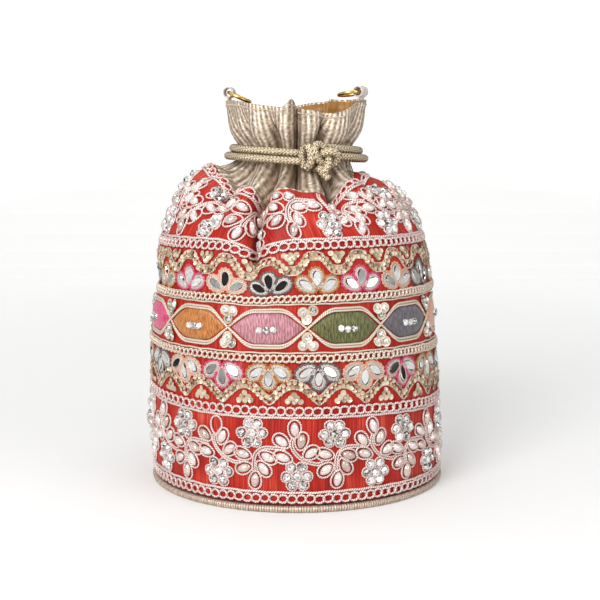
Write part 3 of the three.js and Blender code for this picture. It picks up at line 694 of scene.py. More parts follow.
# Cut glass is painted facet by facet in tones from near black to white, as painted reflections; film
# sequins shine softly; mirror glass is clear and hard.
CRYSTAL = cut_pieces(
    "cut glass on foil, faceted",
    [(0.1, "35322F"), (0.28, "918D88"), (0.48, "DAD8D4"), (0.72, "FFFFFF")],
    metallic=0.4, roughness=0.08, coat=1.0,
)
SEQUIN = cut_pieces(
    "sequins, punched film",
    [(0.1, "8E775C"), (0.24, "C6B092"), (0.5, "EADCC4"), (0.85, "FFFCF4")], metallic=0.15, roughness=0.22,
)
PALE_SEQUIN = cut_pieces(
    "sequins, clear rose film",
    [(0.05, "7A6650"), (0.25, "BCA88C"), (0.55, "DFCDB2"), (0.85, "F8EEDD")],
    metallic=0.3, roughness=0.2, coat=0.5,
)
MIRROR = cut_pieces(
    "mirror glass, cut", [(0.1, "DADCDA"), (0.9, "FBFBFA")], metallic=1.0, roughness=0.03,
)
PEARL = pearl_glass()
# The knitted colours: painted shade in the gaps, the yarn's own gold, painted highlight on the loops and a
# painted glint.
KNITTED = knitted("gold yarn, knitted tube", "3A2A18", "A88C60", "DFC9A0", "FFF6E4")
# Embossed leatherette has a fine soft grain; gilt brass is smooth, with faint clouding from handling; board
# and cotton are dull; thread is a little shiny.
LEATHERETTE = plain_grain(
    "leatherette, embossed grain",
    [(0.35, "BFB3AA"), (0.5, "D9CFC8"), (0.7, "E6DED8")],
    scale=900.0, metallic=0.0, roughness=0.42, depth=0.0002,
)
GILT = plain_grain(
    "gilt brass, polished",
    [(0.3, "CFA45A"), (0.5, "E2BC76"), (0.75, "F2DAA0")],
    scale=160.0, metallic=1.0, roughness=0.2, depth=0.00002,
)
BOARD = plain_grain(
    "grey board, pressed pulp",
    [(0.3, "6E675E"), (0.5, "8A8278"), (0.7, "A39B90")],
    scale=700.0, metallic=0.0, roughness=0.9, depth=0.0003,
)
BASE_CLOTH = plain_grain(
    "base cotton, plain woven",
    [(0.3, "8E1F1B"), (0.5, "A82A24"), (0.7, "B93A31")],
    scale=1200.0, metallic=0.0, roughness=0.85, depth=0.0003, sheen=0.3,
)
STITCHES = plain_grain(
    "polyester thread, machine stitched",
    [(0.3, "A5937E"), (0.5, "CBBBA6"), (0.7, "E6DAC8")],
    scale=2500.0, metallic=0.0, roughness=0.5, depth=0.0001,
)
FLOSS = {
    "magenta": floss("silk floss, magenta satin stitch", "A81F4D", "D6336C", "EC6E9A"),
    "orange": floss("silk floss, orange satin stitch", "8A4510", "BE6F25", "DE9A50"),
    "pink": floss("silk floss, pink satin stitch", "8E5560", "BC7884", "DDA6AC"),
    "olive": floss("silk floss, olive satin stitch", "2C300E", "565A22", "86844A"),
    "grey": floss("silk floss, grey satin stitch", "3A343B", "5C545C", "867D85"),
    "peach": floss("silk floss, peach satin stitch", "C97F5C", "E7A98B", "F8CDB6"),
}

# Cloth shells


def share_grid(rows, columns):
    """Share of the width and share of the height, rows by columns and the closing column."""
    turn = np.arange(columns + 1) / columns - 0.5
    up = np.linspace(0, 1, rows)
    return np.broadcast_to(turn, (rows, columns + 1)), np.broadcast_to(up[:, None], (rows, columns + 1))


def cloth_shell(low, high, lift, thickness, rows, columns, roll, crease=1, across=None):
    """The cloth between two heights, each a function of angle, as outer and inner faces; roll is extra
    lift, in millimetres against millimetres below the upper edge, angle and length. Its corner coordinates
    run round the cloth, or round a circle of radius across for a cloth whose threads stand upright."""
    turn, up = share_grid(rows, columns)
    angle = angle_of(turn, np.full_like(turn, 0.5 * (low(0.0) + high(0.0))))
    length = low(angle) + (high(angle) - low(angle)) * up
    angle = angle_of(turn, length)
    length = low(angle) + (high(angle) - low(angle)) * up
    extra = roll(high(angle) - length, angle, length)
    outer = shaped(angle, length, lift + extra, 1, crease)
    inner = shaped(angle, length, lift - thickness + np.where(extra > 0, 0.3, 1.0) * extra, 1, crease)
    uv = np.stack([angle * across if across else turn * PITCH, length], -1)
    return shell(outer[:, :-1], inner[:, :-1], uv)


def behind_crease(angle, length):
    """How far the lining stands in to clear the deepest crease: a broad bell round it, from the wall to the
    neck."""
    return 36 * bell(angle, -20, 17) * smooth((length - 92) / 28) * (1 - smooth((length - 152) / 26))


def make_cloth():
    """The wall rolls over its seam; the collar has a turned hem, dented by its stitching; the lining hangs
    free."""
    wall = build(
        "wall_silk",
        cloth_shell(
            lambda a: 0 * a, lambda a: seam_at(a) - SEWN_GAP / 2,
            lift=0.0, thickness=WALL_THICKNESS, rows=96, columns=420,
            roll=lambda below, a, s: 0.9 * hump(below, 1.6, 1.8) - 0.5 * hump(below, 0, 0.8),
        ),
        SILK, ["wall"],
    )
    collar = build(
        "collar_lurex",
        cloth_shell(
            lambda a: seam_at(a) + SEWN_GAP / 2, rim_at,
            lift=0.0, thickness=COLLAR_THICKNESS, rows=54, columns=480,
            roll=lambda below, a, s: 0.3 * smooth((4.2 - below) / 0.5) - 0.25 * hump(below, 3.6, 0.35),
            across=36.0,
        ),
        COLLAR_CLOTH, ["collar"],
    )
    lining = build(
        "lining_satin",
        cloth_shell(
            lambda a: 0 * a + 2.0, lambda a: rim_at(a) - 1.2,
            lift=-WALL_THICKNESS - SEWN_GAP, thickness=LINING_THICKNESS, rows=54, columns=300,
            roll=lambda below, a, s: -2.5 * smooth((below - 3) / 14) - behind_crease(a, s),
            crease=0,
        ),
        SATIN, ["lining"],
    )


def make_hem():
    """A row of machine stitches under the rim, each a short cord that dips at its ends."""
    count, below, half = 128, 2.4, 0.85
    turn = np.arange(count)[:, None] / count
    reach = np.linspace(-half, half, 5)
    s = rim_at(angle_of(turn, RIM_LENGTH - 4.0)) - below
    points, _, _, out = lay(turn * PITCH + reach * PITCH / 230, s, 0.3 - 0.2 * (reach / half) ** 2)
    taper = np.array([0.5, 0.9, 1, 0.9, 0.5])
    build("hem_stitches", tubes(points, out, radius=0.45, sides=5, closed=False, taper=taper), STITCHES)


def make_piping():
    """A covered cord round the base seam: a ring of round section, its cover's bias ribs raised across it."""
    turns, sides, ribs, cord = 1680, 12, 275, 1.75
    a = 2 * math.pi * np.arange(turns + 1)[:, None] / turns
    b = 2 * math.pi * np.arange(sides + 1) / sides
    radius = cord * (0.965 + 0.05 * np.cos(ribs * a + 2 * b)) - 0.05
    box_low, box_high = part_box("base_piping")
    middle = (box_low.z + box_high.z) * 500
    ring = box_high.x * 1000 - cord
    r = ring + radius * np.cos(b)
    points = np.stack([r * np.sin(a), -r * np.cos(a), middle + radius * np.sin(b)], -1)
    faces, (row, column) = grid_faces(turns + 1, sides, True)
    faces = faces % (turns * sides)
    uv = np.stack(np.broadcast_arrays(a * ring, b / 2 / math.pi), -1)
    verts = points[:turns, :sides].reshape(-1, 3)
    build("piping_bias", [(verts, faces, uv[row, column])], PIPING_CLOTH, ["base_piping"])


make_cloth()
make_hem()
make_piping()

# Drawstring

CORD_RADIUS = 1.8
CORD_PITCH = 4.0
CORD_OUT = 2.5
CORD_LIFT = 0.2
CORD_TILT = 1.8
CORD_START = 27
CORD_RUN = (-8, 696)  # degrees from the start at which the cord goes in behind the knot and comes out of it
CORD_SLACK = (604, 2.5)  # degrees from the start and how far the cord stands off there
KNOT_ANGLE = 13
KNOT_OUT = 7.2
KNOT_DROP = 2
KNOT_LOOP = 2.45
KNOT_CORD = 1.95
KNOT_TURNED = -28


def neck_point(angle, offset, height):
    """A point off the crest of the gathers at a height: the outline's widest within a cord's half
    thickness."""
    above = np.linspace(-CORD_RADIUS, CORD_RADIUS, 9)
    part = OUTLINE[:, 1] > 150
    lengths = np.interp(height[:, None] + above, OUTLINE[part, 1], LENGTHS[part])
    crest = np.interp(lengths, LENGTHS, OUTLINE[:, 0]).max(1)
    here = np.interp(height, OUTLINE[part, 1], LENGTHS[part])
    depth = crest * depth_ratio(here) + offset
    return np.stack([(crest + offset) * np.sin(angle), -depth * np.cos(angle), height], -1)


def knit(along, around):
    """Relief of a knitted tube: wales side by side, each a column of V stitches."""
    wale = np.abs((around * WALES) % 1 - 0.5) * 2
    return 1 + 0.12 * np.sin(2 * math.pi * (along / STITCH + 0.65 * wale)) + 0.07 * np.cos(2 * math.pi * wale)


def make_drawstring():
    """Two turns of knitted cord round the neck, a helix falling one cord's pitch a turn, a little slack at
    the left of its last turn."""
    turn = np.linspace(*np.radians(CORD_RUN), 1000)
    angle = math.radians(CORD_START) + turn
    fall = CORD_PITCH * (turn / 2 / math.pi - 1) + CORD_TILT * np.sin(angle)
    at, off = CORD_SLACK
    slack = off * hump(turn, math.radians(at), 0.4)
    path = neck_point(angle, CORD_OUT + slack, NECK_HEIGHT + CORD_LIFT - fall)
    out = unit(path * np.array([1, 1, 0]))
    cord = tubes(path[None], out[None], CORD_RADIUS, 28, False, relief=knit)
    build("drawstring_knit", cord, KNITTED, ["drawstring"])


def make_knot():
    """The knot: a trefoil drawn tight and open at the back, a wrap beside it and one short tail."""
    a = math.radians(KNOT_ANGLE)
    centre = neck_point(np.array([a]), KNOT_OUT, np.array([NECK_HEIGHT - KNOT_DROP]))[0]
    axes = np.array([[math.cos(a), math.sin(a), 0], [0, 0, 1.0], [math.sin(a), -math.cos(a), 0]])

    def strand(across, up, front, closed):
        path = centre + np.stack([across, up, front], -1) @ axes
        out = np.broadcast_to(axes[2] + 0.3 * axes[0], path.shape)
        return tubes(path[None], out[None], KNOT_CORD, 28, closed, relief=knit)

    t = np.linspace(math.pi + 0.3, 3 * math.pi - 0.3, 200)
    x = KNOT_LOOP * (np.sin(t) + 2 * np.sin(2 * t))
    z = KNOT_LOOP * (np.cos(t) - 2 * np.cos(2 * t))
    c, s = math.cos(math.radians(KNOT_TURNED)), math.sin(math.radians(KNOT_TURNED))
    knot = strand(4.5 + x * c - z * s, x * s + z * c, -2.1 * np.sin(3 * t), False)
    t = circle(90)
    knot += strand(-4.0 + 1.6 * np.sin(t), 5.0 * np.cos(t) + 0.6, 3.2 * np.sin(t) - 1.0, True)
    t = np.linspace(0, 1, 40)
    knot += strand(1.0 + 5.5 * t, -4.0 - 6.5 * t, 1.4 + 0.8 * t, False)
    build("knot_knit", knot, KNITTED, ["drawstring_knot"])


make_drawstring()
make_knot()

# Tabs and rings

# Middle of the loop, the ways along it and out from the bag, height of the stem's foot, slope of the ring.
TABS = {
    "left": ((-35.8154, 3.1752, 203.8050), (-0.19751, -0.98030, 0), (-0.98030, 0.19751, 0), 199.57, 24),
    "right": ((32.8551, -10.5716, 203.5454), (0.54768, 0.83669, 0), (0.83669, -0.54768, 0), 199.31, 8),
}
TAB_LOOP = 2.588
STRAP_HALF_THICK = 0.45
STRAP_HALF_WIDE = 3.25
STEM_TOP = 2.75
RING_RADIUS = 6.1
WIRE_RADIUS = 0.9


def make_tab(side):
    """A strap rolled into a loop (a ring of rounded oblong section) with a short stem down to the rim, and
    the polished ring hung in it, a plain torus."""
    centre, along, out, foot, slope = TABS[side]
    centre, along, out = (np.array(v, float) for v in (centre, along, out))
    up = np.array([0, 0, 1.0])
    sides, turns, rows = 16, 48, 6
    b = circle(sides)
    thick = STRAP_HALF_THICK * np.sign(np.cos(b)) * np.abs(np.cos(b)) ** 0.5
    wide = (STRAP_HALF_WIDE * np.sign(np.sin(b)) * np.abs(np.sin(b)) ** 0.4)[:, None] * along
    a = circle(turns)[:, None, None]
    loop = centre + (TAB_LOOP + thick)[:, None] * (np.cos(a) * out + np.sin(a) * up) + wide
    z = np.linspace(foot, centre[2] - STEM_TOP, rows)[:, None, None]
    stem = centre * np.array([1, 1, 0]) + (1.3 * thick)[:, None] * out + wide + z * up
    meshes = []
    for points, count, ends in ((loop, turns + 1, []), (stem, rows, [stem[0].mean(0), stem[-1].mean(0)])):
        faces, (row, column) = grid_faces(count, sides, True)
        uv = np.stack([row * 0.3, column * 0.4], -1).astype(float)
        verts = np.concatenate([points.reshape(-1, 3), np.reshape(ends, (-1, 3))])
        meshes.append((verts, faces % (points.size // 3), uv))
    last = rows * sides
    caps = np.concatenate([fan(sides, 0, last, True), fan(sides, last - sides, last + 1)])
    meshes.append((np.zeros((0, 3)), caps, np.zeros((len(caps), 3, 2))))
    build(f"{side}_tab_strap", meshes, LEATHERETTE, [f"{side}_tab"])
    tilt = math.radians(slope)
    lean = -out * math.cos(tilt) - up * math.sin(tilt)
    a = circle(64)[:, None]
    path = centre + RING_RADIUS * (lean + np.cos(a) * lean + np.sin(a) * along)
    normal = np.broadcast_to(np.cross(lean, along), path.shape)
    ring = tubes(path[None], normal[None], WIRE_RADIUS, 16, True)
    build(f"{side}_ring_gilt", ring, GILT, [f"{side}_ring"], f"{side}_ring")


make_tab("left")
make_tab("right")

# Embroidery. Places are millimetres round the cloth from the front and up it from the base seam.

rng = np.random.default_rng(SEED)
BORDER_WIDTH = 6.2
GOLD_WIDTH = 5.4
LOWER_BORDER_FOOT = 42.2
LOWER_GOLD_FOOT = 69
UPPER_GOLD_FOOT = 96.4
UPPER_BORDER_FOOT = 123.8
PERIODS = 12
PERIOD = PITCH / PERIODS
LOBES = 20
# Slot, material, width, loop pitch and cord radius of a chain, and its edge cord's size against the loops'.
PINK_CHAIN = ("pink_dori", PINK_DORI, BORDER_WIDTH, 4.35, 0.6, 1.1)
GOLD_CHAIN = ("gold_dori", GOLD_DORI, GOLD_WIDTH, 3.05, 0.62, 0.7)
NECK_OPEN = (-16, 25)  # the neck border is folded in between these angles
NECK_BORDER_DROP = 7.2  # its foot below the seam
NECK_BORDER_MIDDLE = 155.0
NEAR_NECK = 150.0  # length up the cloth at which angles near the neck border are read


def couched(x, s, lift, cord, closed, sides=5):
    """Cords laid on the cloth along many paths at once, paths by points."""
    points, _, _, out = lay(x, s, lift)
    return tubes(points, out, cord, sides, closed)


def sewn(name, shape, x, s, lift, lean, material, angle=0.0, nodes=(), rings=None, flat=True):
    """Small pieces sewn on at places on the cloth, each turned to its angle and leaned a little by chance."""
    place, *axes = lay(x, s, lift)
    count = len(place)
    axes = tip(spin(axes, angle), rng.normal(0, lean, count), rng.normal(0, lean, count))
    build(name, copies(shape, place, axes, rings), material, nodes, flat_faces=flat)


def any_way(count):
    """Angles by chance, all round."""
    return rng.uniform(0, 6.28, count)


def chain(name, node, foot, cord_low, kind, first=-0.5, last=0.5):
    """A couched chain: a straight cord along one edge and a row of round loops, each lapping over the next.
    foot is the height of its lower edge against turns; it runs from the first turn to the last."""
    slot, material, width, pitch, cord, edge_size = kind
    whole = last - first > 0.999
    count = int(round((last - first) * PITCH / pitch))
    middle = first + (np.arange(count) + 0.5) / count * (last - first)
    a = circle(12)
    wide = 0.53 * pitch + rng.normal(0, 0.08, count)
    high = (width - 2.6 * cord) / 2 - 0.35
    centre = foot(middle) + width / 2 + (0.55 if cord_low else -0.55) + rng.normal(0, 0.12, count)
    x = middle[:, None] * PITCH + wide[:, None] * np.cos(a) + 0.25 * np.sin(a)
    s = centre[:, None] + high * np.sin(a)
    meshes = couched(x, s, cord * (1.0 + 0.55 * (1 + np.cos(a))), cord, True)
    t = np.linspace(first, last, int(720 * (last - first)) + (0 if whole else 1), endpoint=not whole)
    edge = foot(t) + (cord if cord_low else width - cord) + 0.12 * np.sin(t * 260)
    meshes += couched(t[None] * PITCH, edge[None], cord * 1.1, cord * edge_size, whole, 6)
    build(name, meshes, material, [node])


def level(height):
    """A foot at one height all round."""
    return lambda t: 0 * t + height


def neck_foot(t):
    """The foot of the neck border, which follows the seam."""
    return seam_at(angle_of(t, NEAR_NECK)) - NECK_BORDER_DROP


def turn_of(angle, length):
    """The share of the cloth's width that lies at an angle, at one height."""
    turns = np.linspace(-0.5, 0.5, 2001)
    return float(np.interp(math.radians(angle), angle_of(turns, length), turns))


def upper_ceiling(t):
    """The top of the upper floral band: under the neck border, or the edge of the silk where the border is
    folded in at the front."""
    angle = np.degrees(wrap(angle_of(t, NEAR_NECK)))
    return neck_foot(t) + np.where((angle > NECK_OPEN[0]) & (angle < NECK_OPEN[1]), 5.0, 0.0)


def make_borders():
    """The six chain borders. The neck's is left open at the front, where its edge of the silk is folded
    in."""
    for name, foot, low in (
        ("base", 0.5, False), ("lower", LOWER_BORDER_FOOT, True), ("upper", UPPER_BORDER_FOOT, False),
    ):
        chain(f"{name}_chain", f"{name}_border", level(foot), low, PINK_CHAIN)
    left, right = (turn_of(angle, NECK_BORDER_MIDDLE) for angle in NECK_OPEN)
    chain("neck_chain", "neck_border", neck_foot, True, PINK_CHAIN, right, left + 1)
    for name, foot, low in (("lower", LOWER_GOLD_FOOT, False), ("upper", UPPER_GOLD_FOOT, True)):
        chain(f"{name}_gold_chain", f"{name}_gold_border", level(foot), low, GOLD_CHAIN)


def navette(length, width, height, around, rings, top):
    """A pointed oval dome: its outline pinched to points at both ends, risen as a quarter ellipse, closed
    below."""
    a = circle(around)
    x = length / 2 * np.cos(a)
    y = width / 2 * np.sign(np.sin(a)) * np.abs(np.sin(a)) ** 1.25
    e = np.linspace(0, math.pi / 2, rings + 1)[:-1, None]
    ring = np.stack(np.broadcast_arrays(np.cos(e) ** top * x, np.cos(e) ** top * y, height * np.sin(e)), -1)
    points = np.concatenate([ring.reshape(-1, 3), [[0, 0, height], [0, 0, 0]]])
    last = rings * around
    ends = np.concatenate([fan(around, last - around, last), fan(around, 0, last + 1, True)])
    return points, [grid_faces(rings, around, True)[0], ends]


def chaton(radius):
    """A round stone cut in eights: upright girdle, two rows of crown facets and a flat table."""
    a = circle(8)
    rows = [(1.0, 0.0, a), (1.0, 0.45, a), (0.56, 0.95, a + math.pi / 8)]
    ring = [radius * np.stack([r * np.cos(t), r * np.sin(t), 0 * t + z], 1) for r, z, t in rows]
    points = np.concatenate([*ring, [[0, 0, radius * 0.97], [0, 0, 0]]])
    k = np.arange(8)
    n = (k + 1) % 8
    crown = [np.stack([k + 8, n + 8, k + 16], 1), np.stack([k + 16, n + 8, n + 16], 1)]
    return points, [grid_faces(2, 8, True)[0], np.concatenate([*crown, fan(8, 16, 24), fan(8, 0, 25, True)])]


def disc(radius, cup):
    """A cupped disc of ten sides, its rim raised and its middle low, closed below."""
    a = circle(10)
    ring = np.stack([radius * np.cos(a), radius * np.sin(a), 0 * a + cup], 1)
    points = np.concatenate([ring, ring * [0.55, 0.55, 0.45], [[0, 0, cup * 0.2], [0, 0, 0]]])
    return points, [grid_faces(2, 10, True)[0], np.concatenate([fan(10, 10, 20), fan(10, 0, 21, True)])]


def loops(x, s, angle, half_length, half_width, cord, points_round, lift=1.0, drop=0.18, teeth=0.0):
    """Closed cord loops laid flat on the cloth round centres, each an oval turned to its angle, fuller at
    the outer end than at the root; teeth swings the outline in and out like blanket stitch."""
    a = circle(points_round)
    swing = 1 + teeth * np.where(np.arange(points_round) % 2 == 0, 1, -1)
    px = half_length * np.cos(a) * swing
    py = half_width * np.sin(a) * (1 + drop * np.cos(a)) * swing
    c, d = np.cos(angle)[:, None], np.sin(angle)[:, None]
    return couched(x[:, None] + px * c - py * d, s[:, None] + px * d + py * c, cord * lift, cord, True)


def strands(x, s, cord, apart):
    """Two cords side by side along each laid path (paths by points), apart from middle to middle."""
    ax, ay = np.gradient(x, axis=1), np.gradient(s, axis=1)
    size = np.hypot(ax, ay)
    meshes = []
    for side in (-0.5, 0.5):
        away = apart * side / size
        meshes += couched(x - ay * away, s + ax * away, cord * 1.05, cord, False)
    return meshes


# One period of the floral band, in millimetres from the upright spray's middle and up from the lower border:
# petals as place, angle in degrees; crystal clusters; stems.
UPRIGHT = [(0, 30.2, 92), (-6.2, 24.2, 140), (3.6, 24.4, 62), (-6.0, 16.6, 165), (7.6, 18.6, 38)]
HANGING = [(-20, 4.6, -92), (-25.2, 17.6, 160), (-13.4, 16.4, -20), (-25.4, 10.2, 215), (-15.8, 10.4, -52)]
CLUSTERS = [(-20.4, 27.6), (0.4, 7.0)]
CLUSTER = [(-2.5, 4.3), (2.5, 4.3), (-5, 0), (0, 0), (5, 0), (-2.5, -4.3), (2.5, -4.3)]
STEMS = [
    [(-0.4, 26.2), (-1.2, 22.6), (0.2, 18.6), (4.0, 14.8), (9.8, 12.8), (13.4, 13.4)],
    [(-20.2, 8.4), (-20.4, 12.0), (-19.0, 17.4), (-14.8, 20.6), (-9.6, 20.8), (-4.0, 20.4)],
]


def floral_band(name, foot, phase, ceiling, bare):
    """Twelve periods of vine: pearls each in a loop of cord, crystals in clusters of seven, and double-cord
    stems. What lies above the ceiling (a function of turns) is folded away in the gathers and left out.
    bare is one petal, if any, that has lost its pearl, as on the real bag."""
    start = PERIOD * np.arange(PERIODS)[:, None] + phase
    petals = np.array(UPRIGHT + HANGING, float)
    n = PERIODS * len(petals)
    x = (start + petals[:, 0]).ravel() + rng.normal(0, 0.35, n)
    s = np.tile(foot + petals[:, 1], PERIODS) + rng.normal(0, 0.3, n)
    angle = np.tile(np.radians(petals[:, 2]), PERIODS) + rng.normal(0, 0.12, n)
    keep = s < ceiling(x / PITCH) - 2.5
    x, s, angle = x[keep], s[keep], angle[keep]
    rings = loops(x, s, angle, half_length=4.6, half_width=3.15, cord=0.52, points_round=16)
    build(name + "_petal_cords", rings, PINK_DORI)
    full = np.array([k != bare for k in range(len(x))])
    bead = navette(length=7.3, width=4.4, height=2.3, around=12, rings=4, top=0.8)
    sewn(
        name + "_pearls", bead, x[full], s[full], lift=0.35, lean=0.08, material=PEARL, angle=angle[full],
        nodes=[name], flat=False,
    )
    seats = (np.array(CLUSTERS, float)[:, None] + np.array(CLUSTER, float)).reshape(-1, 2)
    n = PERIODS * len(seats)
    x = (start + seats[:, 0]).ravel() + rng.normal(0, 0.3, n)
    s = np.tile(foot + seats[:, 1], PERIODS) + rng.normal(0, 0.3, n)
    keep = s < ceiling(x / PITCH) - 2.0
    x, s = x[keep], s[keep]
    rings = loops(x, s, any_way(len(x)), half_length=2.65, half_width=2.65, cord=0.46, points_round=12)
    build(name + "_crystal_cords", rings, PINK_DORI)
    sewn(name + "_crystals", chaton(2.05), x, s, 0.4, 0.14, CRYSTAL, any_way(len(x)))
    meshes = []
    for stem in STEMS:
        path = spline(stem, 6)
        x = start + path[:, 0]
        s = np.broadcast_to(foot + path[:, 1], x.shape)
        low = s.max(1) < ceiling(x.mean(1) / PITCH)
        meshes += strands(x[low], s[low], cord=0.5, apart=1.15)
    build(name + "_stems", meshes, PINK_DORI)


SCALLOP_HALF = 3.7
LOBE_TURN = 9  # degrees from the front to a crest of the scallop
SEQUIN_PITCH = 1.25
SEQUIN_ROW = 1.05  # from the middle of the trim to a row of sequins
# A fan of sequins in one lobe: place from its middle, and from the outer end of the wave towards the border.
SEQUIN_FAN = np.array([(0, 4.6), (-1.5, 6.5), (1.5, 6.5), (-3.0, 8.2), (0, 8.2), (3.0, 8.2)])


def wave_path(middle, side, steps):
    """The scallop line, twenty lobes round the bag: rounded waves where it lies over its flowers (side 1),
    and arches that meet in narrow dips under them (side -1), which are the square root of a half wave."""
    t = np.arange(steps) / steps - 0.5
    lobe = np.cos(LOBES * (t * 2 * math.pi - math.radians(LOBE_TURN)))
    wave = np.sin(math.pi / 2 * lobe) if side > 0 else 1.55 - 2.5 * np.sqrt((1 - lobe) / 2 + 0.03)
    return t * PITCH, middle + side * SCALLOP_HALF * wave


def make_scallop(name, middle, side):
    """Cupped sequins lapped in two rows along a wave of twenty lobes, edged with fine cord, and a small fan
    of sequins in each lobe that opens to the border."""
    x, s = wave_path(middle, side, 4000)
    run = np.concatenate([[0], np.cumsum(np.hypot(np.diff(x), np.diff(s)))])
    count = int(run[-1] / SEQUIN_PITCH)
    at = (np.arange(count) + 0.5) / count * run[-1]
    x, s = np.interp(at, run, x), np.interp(at, run, s)
    slope = np.gradient(s) / np.gradient(x)
    away = SEQUIN_ROW * np.where(np.arange(count) % 2 == 0, 1, -1) / np.sqrt(1 + slope**2)
    sewn(
        name + "_sequins", disc(1.2, 0.5), x - away * slope, s + away, rng.uniform(0.4, 0.8, count), 0.24,
        SEQUIN, nodes=[name], rings=(1.0, 0.12),
    )
    meshes = []
    for away in (-2.1, 2.1):
        x, s = wave_path(middle + away, side, 960)
        meshes += couched(x[None], s[None], lift=0.45, cord=0.42, closed=True)
    build(name + "_cords", meshes, GOLD_DORI)
    lobe = (np.arange(LOBES)[:, None] + 1) / LOBES - 0.5
    x = (lobe * PITCH + SEQUIN_FAN[:, 0]).ravel()
    s = np.tile(middle + side * (SEQUIN_FAN[:, 1] - SCALLOP_HALF), LOBES)
    sewn(name + "_fans", disc(1.5, 0.45), x, s, 0.4, 0.2, PALE_SEQUIN, any_way(len(x)), rings=(0.8, 0.3))


DARK_SIDE = np.array([-0.484, -0.848, 0.214])  # the way to a dark part of the room, behind the camera


def lean_to_dark(axes, place, some):
    """The axes, some of them leaned so that they mirror the dark side of the room to the camera: each faces
    half way between the two."""
    seen = unit(place - 1000 * np.array(CAMERA_PLACE))
    return face(axes, np.where(some[:, None], unit(DARK_SIDE - seen), axes[2]))


def make_flowers(name, node, hub, up, colours, dark):
    """Twenty flowers of three mirrors: each mirror a pointed oval in three rounds of cord, edged in
    coloured thread worked in teeth. The mirrors of the flower numbered dark, if any, look dark from the
    front, as on the real bag."""
    spread = np.radians([-58, 0, 58])
    x = ((np.arange(LOBES)[:, None] + 0.5) * PITCH / LOBES + 6.8 * np.sin(spread)).ravel()
    s = np.tile(hub + up * (6.6 * np.cos(spread) + 1.0), LOBES)
    angle = np.tile(up * (math.pi / 2) - up * spread, LOBES)
    flower = np.repeat(np.arange(LOBES), 3)
    frames = []
    for grow, lift in ((0.35, 2.2), (0.85, 1.6), (1.35, 1.1)):
        frames += loops(x, s, angle, 3.8 + grow, 1.9 + grow, cord=0.31, points_round=16, lift=lift, drop=0.2)
    build(name + "_frames", frames, SILVER_DORI)
    place, *axes = lay(x, s, 0.6)
    axes = tip(spin(axes, angle), rng.normal(0, 0.12, len(x)), rng.normal(0, 0.22, len(x)))
    if dark is not None:
        axes = lean_to_dark(axes, place, flower == dark)
    glass = navette(length=7.6, width=3.9, height=0.8, around=12, rings=2, top=0.25)
    glass[0][:, 2] = np.minimum(glass[0][:, 2], 0.55)  # the top is cut flat
    build(name + "_mirrors", copies(glass, place, axes), MIRROR, [node], flat_faces=True)
    for k, colour in enumerate(colours):
        some = flower % len(colours) == k
        outline = loops(
            x[some], s[some], angle[some], half_length=5.75, half_width=3.85, cord=0.58, points_round=30,
            lift=0.7, drop=0.2, teeth=0.06,
        )
        build(f"{name}_outline_{colour}", outline, FLOSS[colour])


HEXAGON_COLOURS = ["olive", "grey", "peach", "magenta", "orange", "pink"]
HEXAGON_MIDDLE = (LOWER_GOLD_FOOT + GOLD_WIDTH + UPPER_GOLD_FOOT) / 2
HEXAGON_CENTRES = (np.arange(PERIODS) + 0.5) * PERIOD + PITCH * 5.5 / 360
HEXAGON_HALF_LENGTH = 17.7
HEXAGON_HALF_HEIGHT = 7.7
# Sequins at a crossing of the cords: place from it.
TREFOILS = np.array([(-2.3, 8.0), (2.3, 8.0), (0, 4.4), (-2.3, -8.0), (2.3, -8.0), (0, -4.4)])


def make_hexagon(number, centre, colour):
    """A padded hexagon worked in upright floss: a low dome, a half ellipse across and levelled at both
    points, over a long hexagon pinched a little at its corners, with a flat face under it and a side
    joining the two."""
    rows, columns = 13, 41
    p = np.linspace(-1, 1, columns)
    q = np.linspace(-1, 1, rows)[:, None]
    half = np.clip((1.02 - np.abs(p)) / 0.53, 0, 1) - 0.09 * hump(np.abs(p), 0.49, 0.14)
    rise = 0.25 + 1.25 * np.sqrt(np.clip(1 - q**2, 0, 1)) * smooth((1 - np.abs(p)) / 0.3)
    x = np.broadcast_to(centre + HEXAGON_HALF_LENGTH * p, (rows, columns))
    s = HEXAGON_MIDDLE + q * HEXAGON_HALF_HEIGHT * half
    verts = np.concatenate([lay(x, s, lift)[0].reshape(-1, 3) for lift in (rise, 0.05)])
    n = rows * columns
    faces, (r, c) = grid_faces(rows, columns, False)
    index = np.arange(n).reshape(rows, columns)
    border = np.concatenate([index[0], index[1:, -1], index[-1, -2::-1], index[-2:0:-1, 0]])
    after = np.roll(border, -1)
    edge = np.stack([after, border, border + n, after + n], 1)
    uv = np.stack([x, s], -1)
    quads = np.concatenate([faces, faces[:, ::-1] + n, edge])
    corner = np.concatenate([uv[r, c], uv[r, c][:, ::-1], uv.reshape(-1, 2)[edge % n]])
    name = f"hexagon_{number:02d}"
    build(name + "_floss", [(verts, quads, corner)], FLOSS[colour], [name])


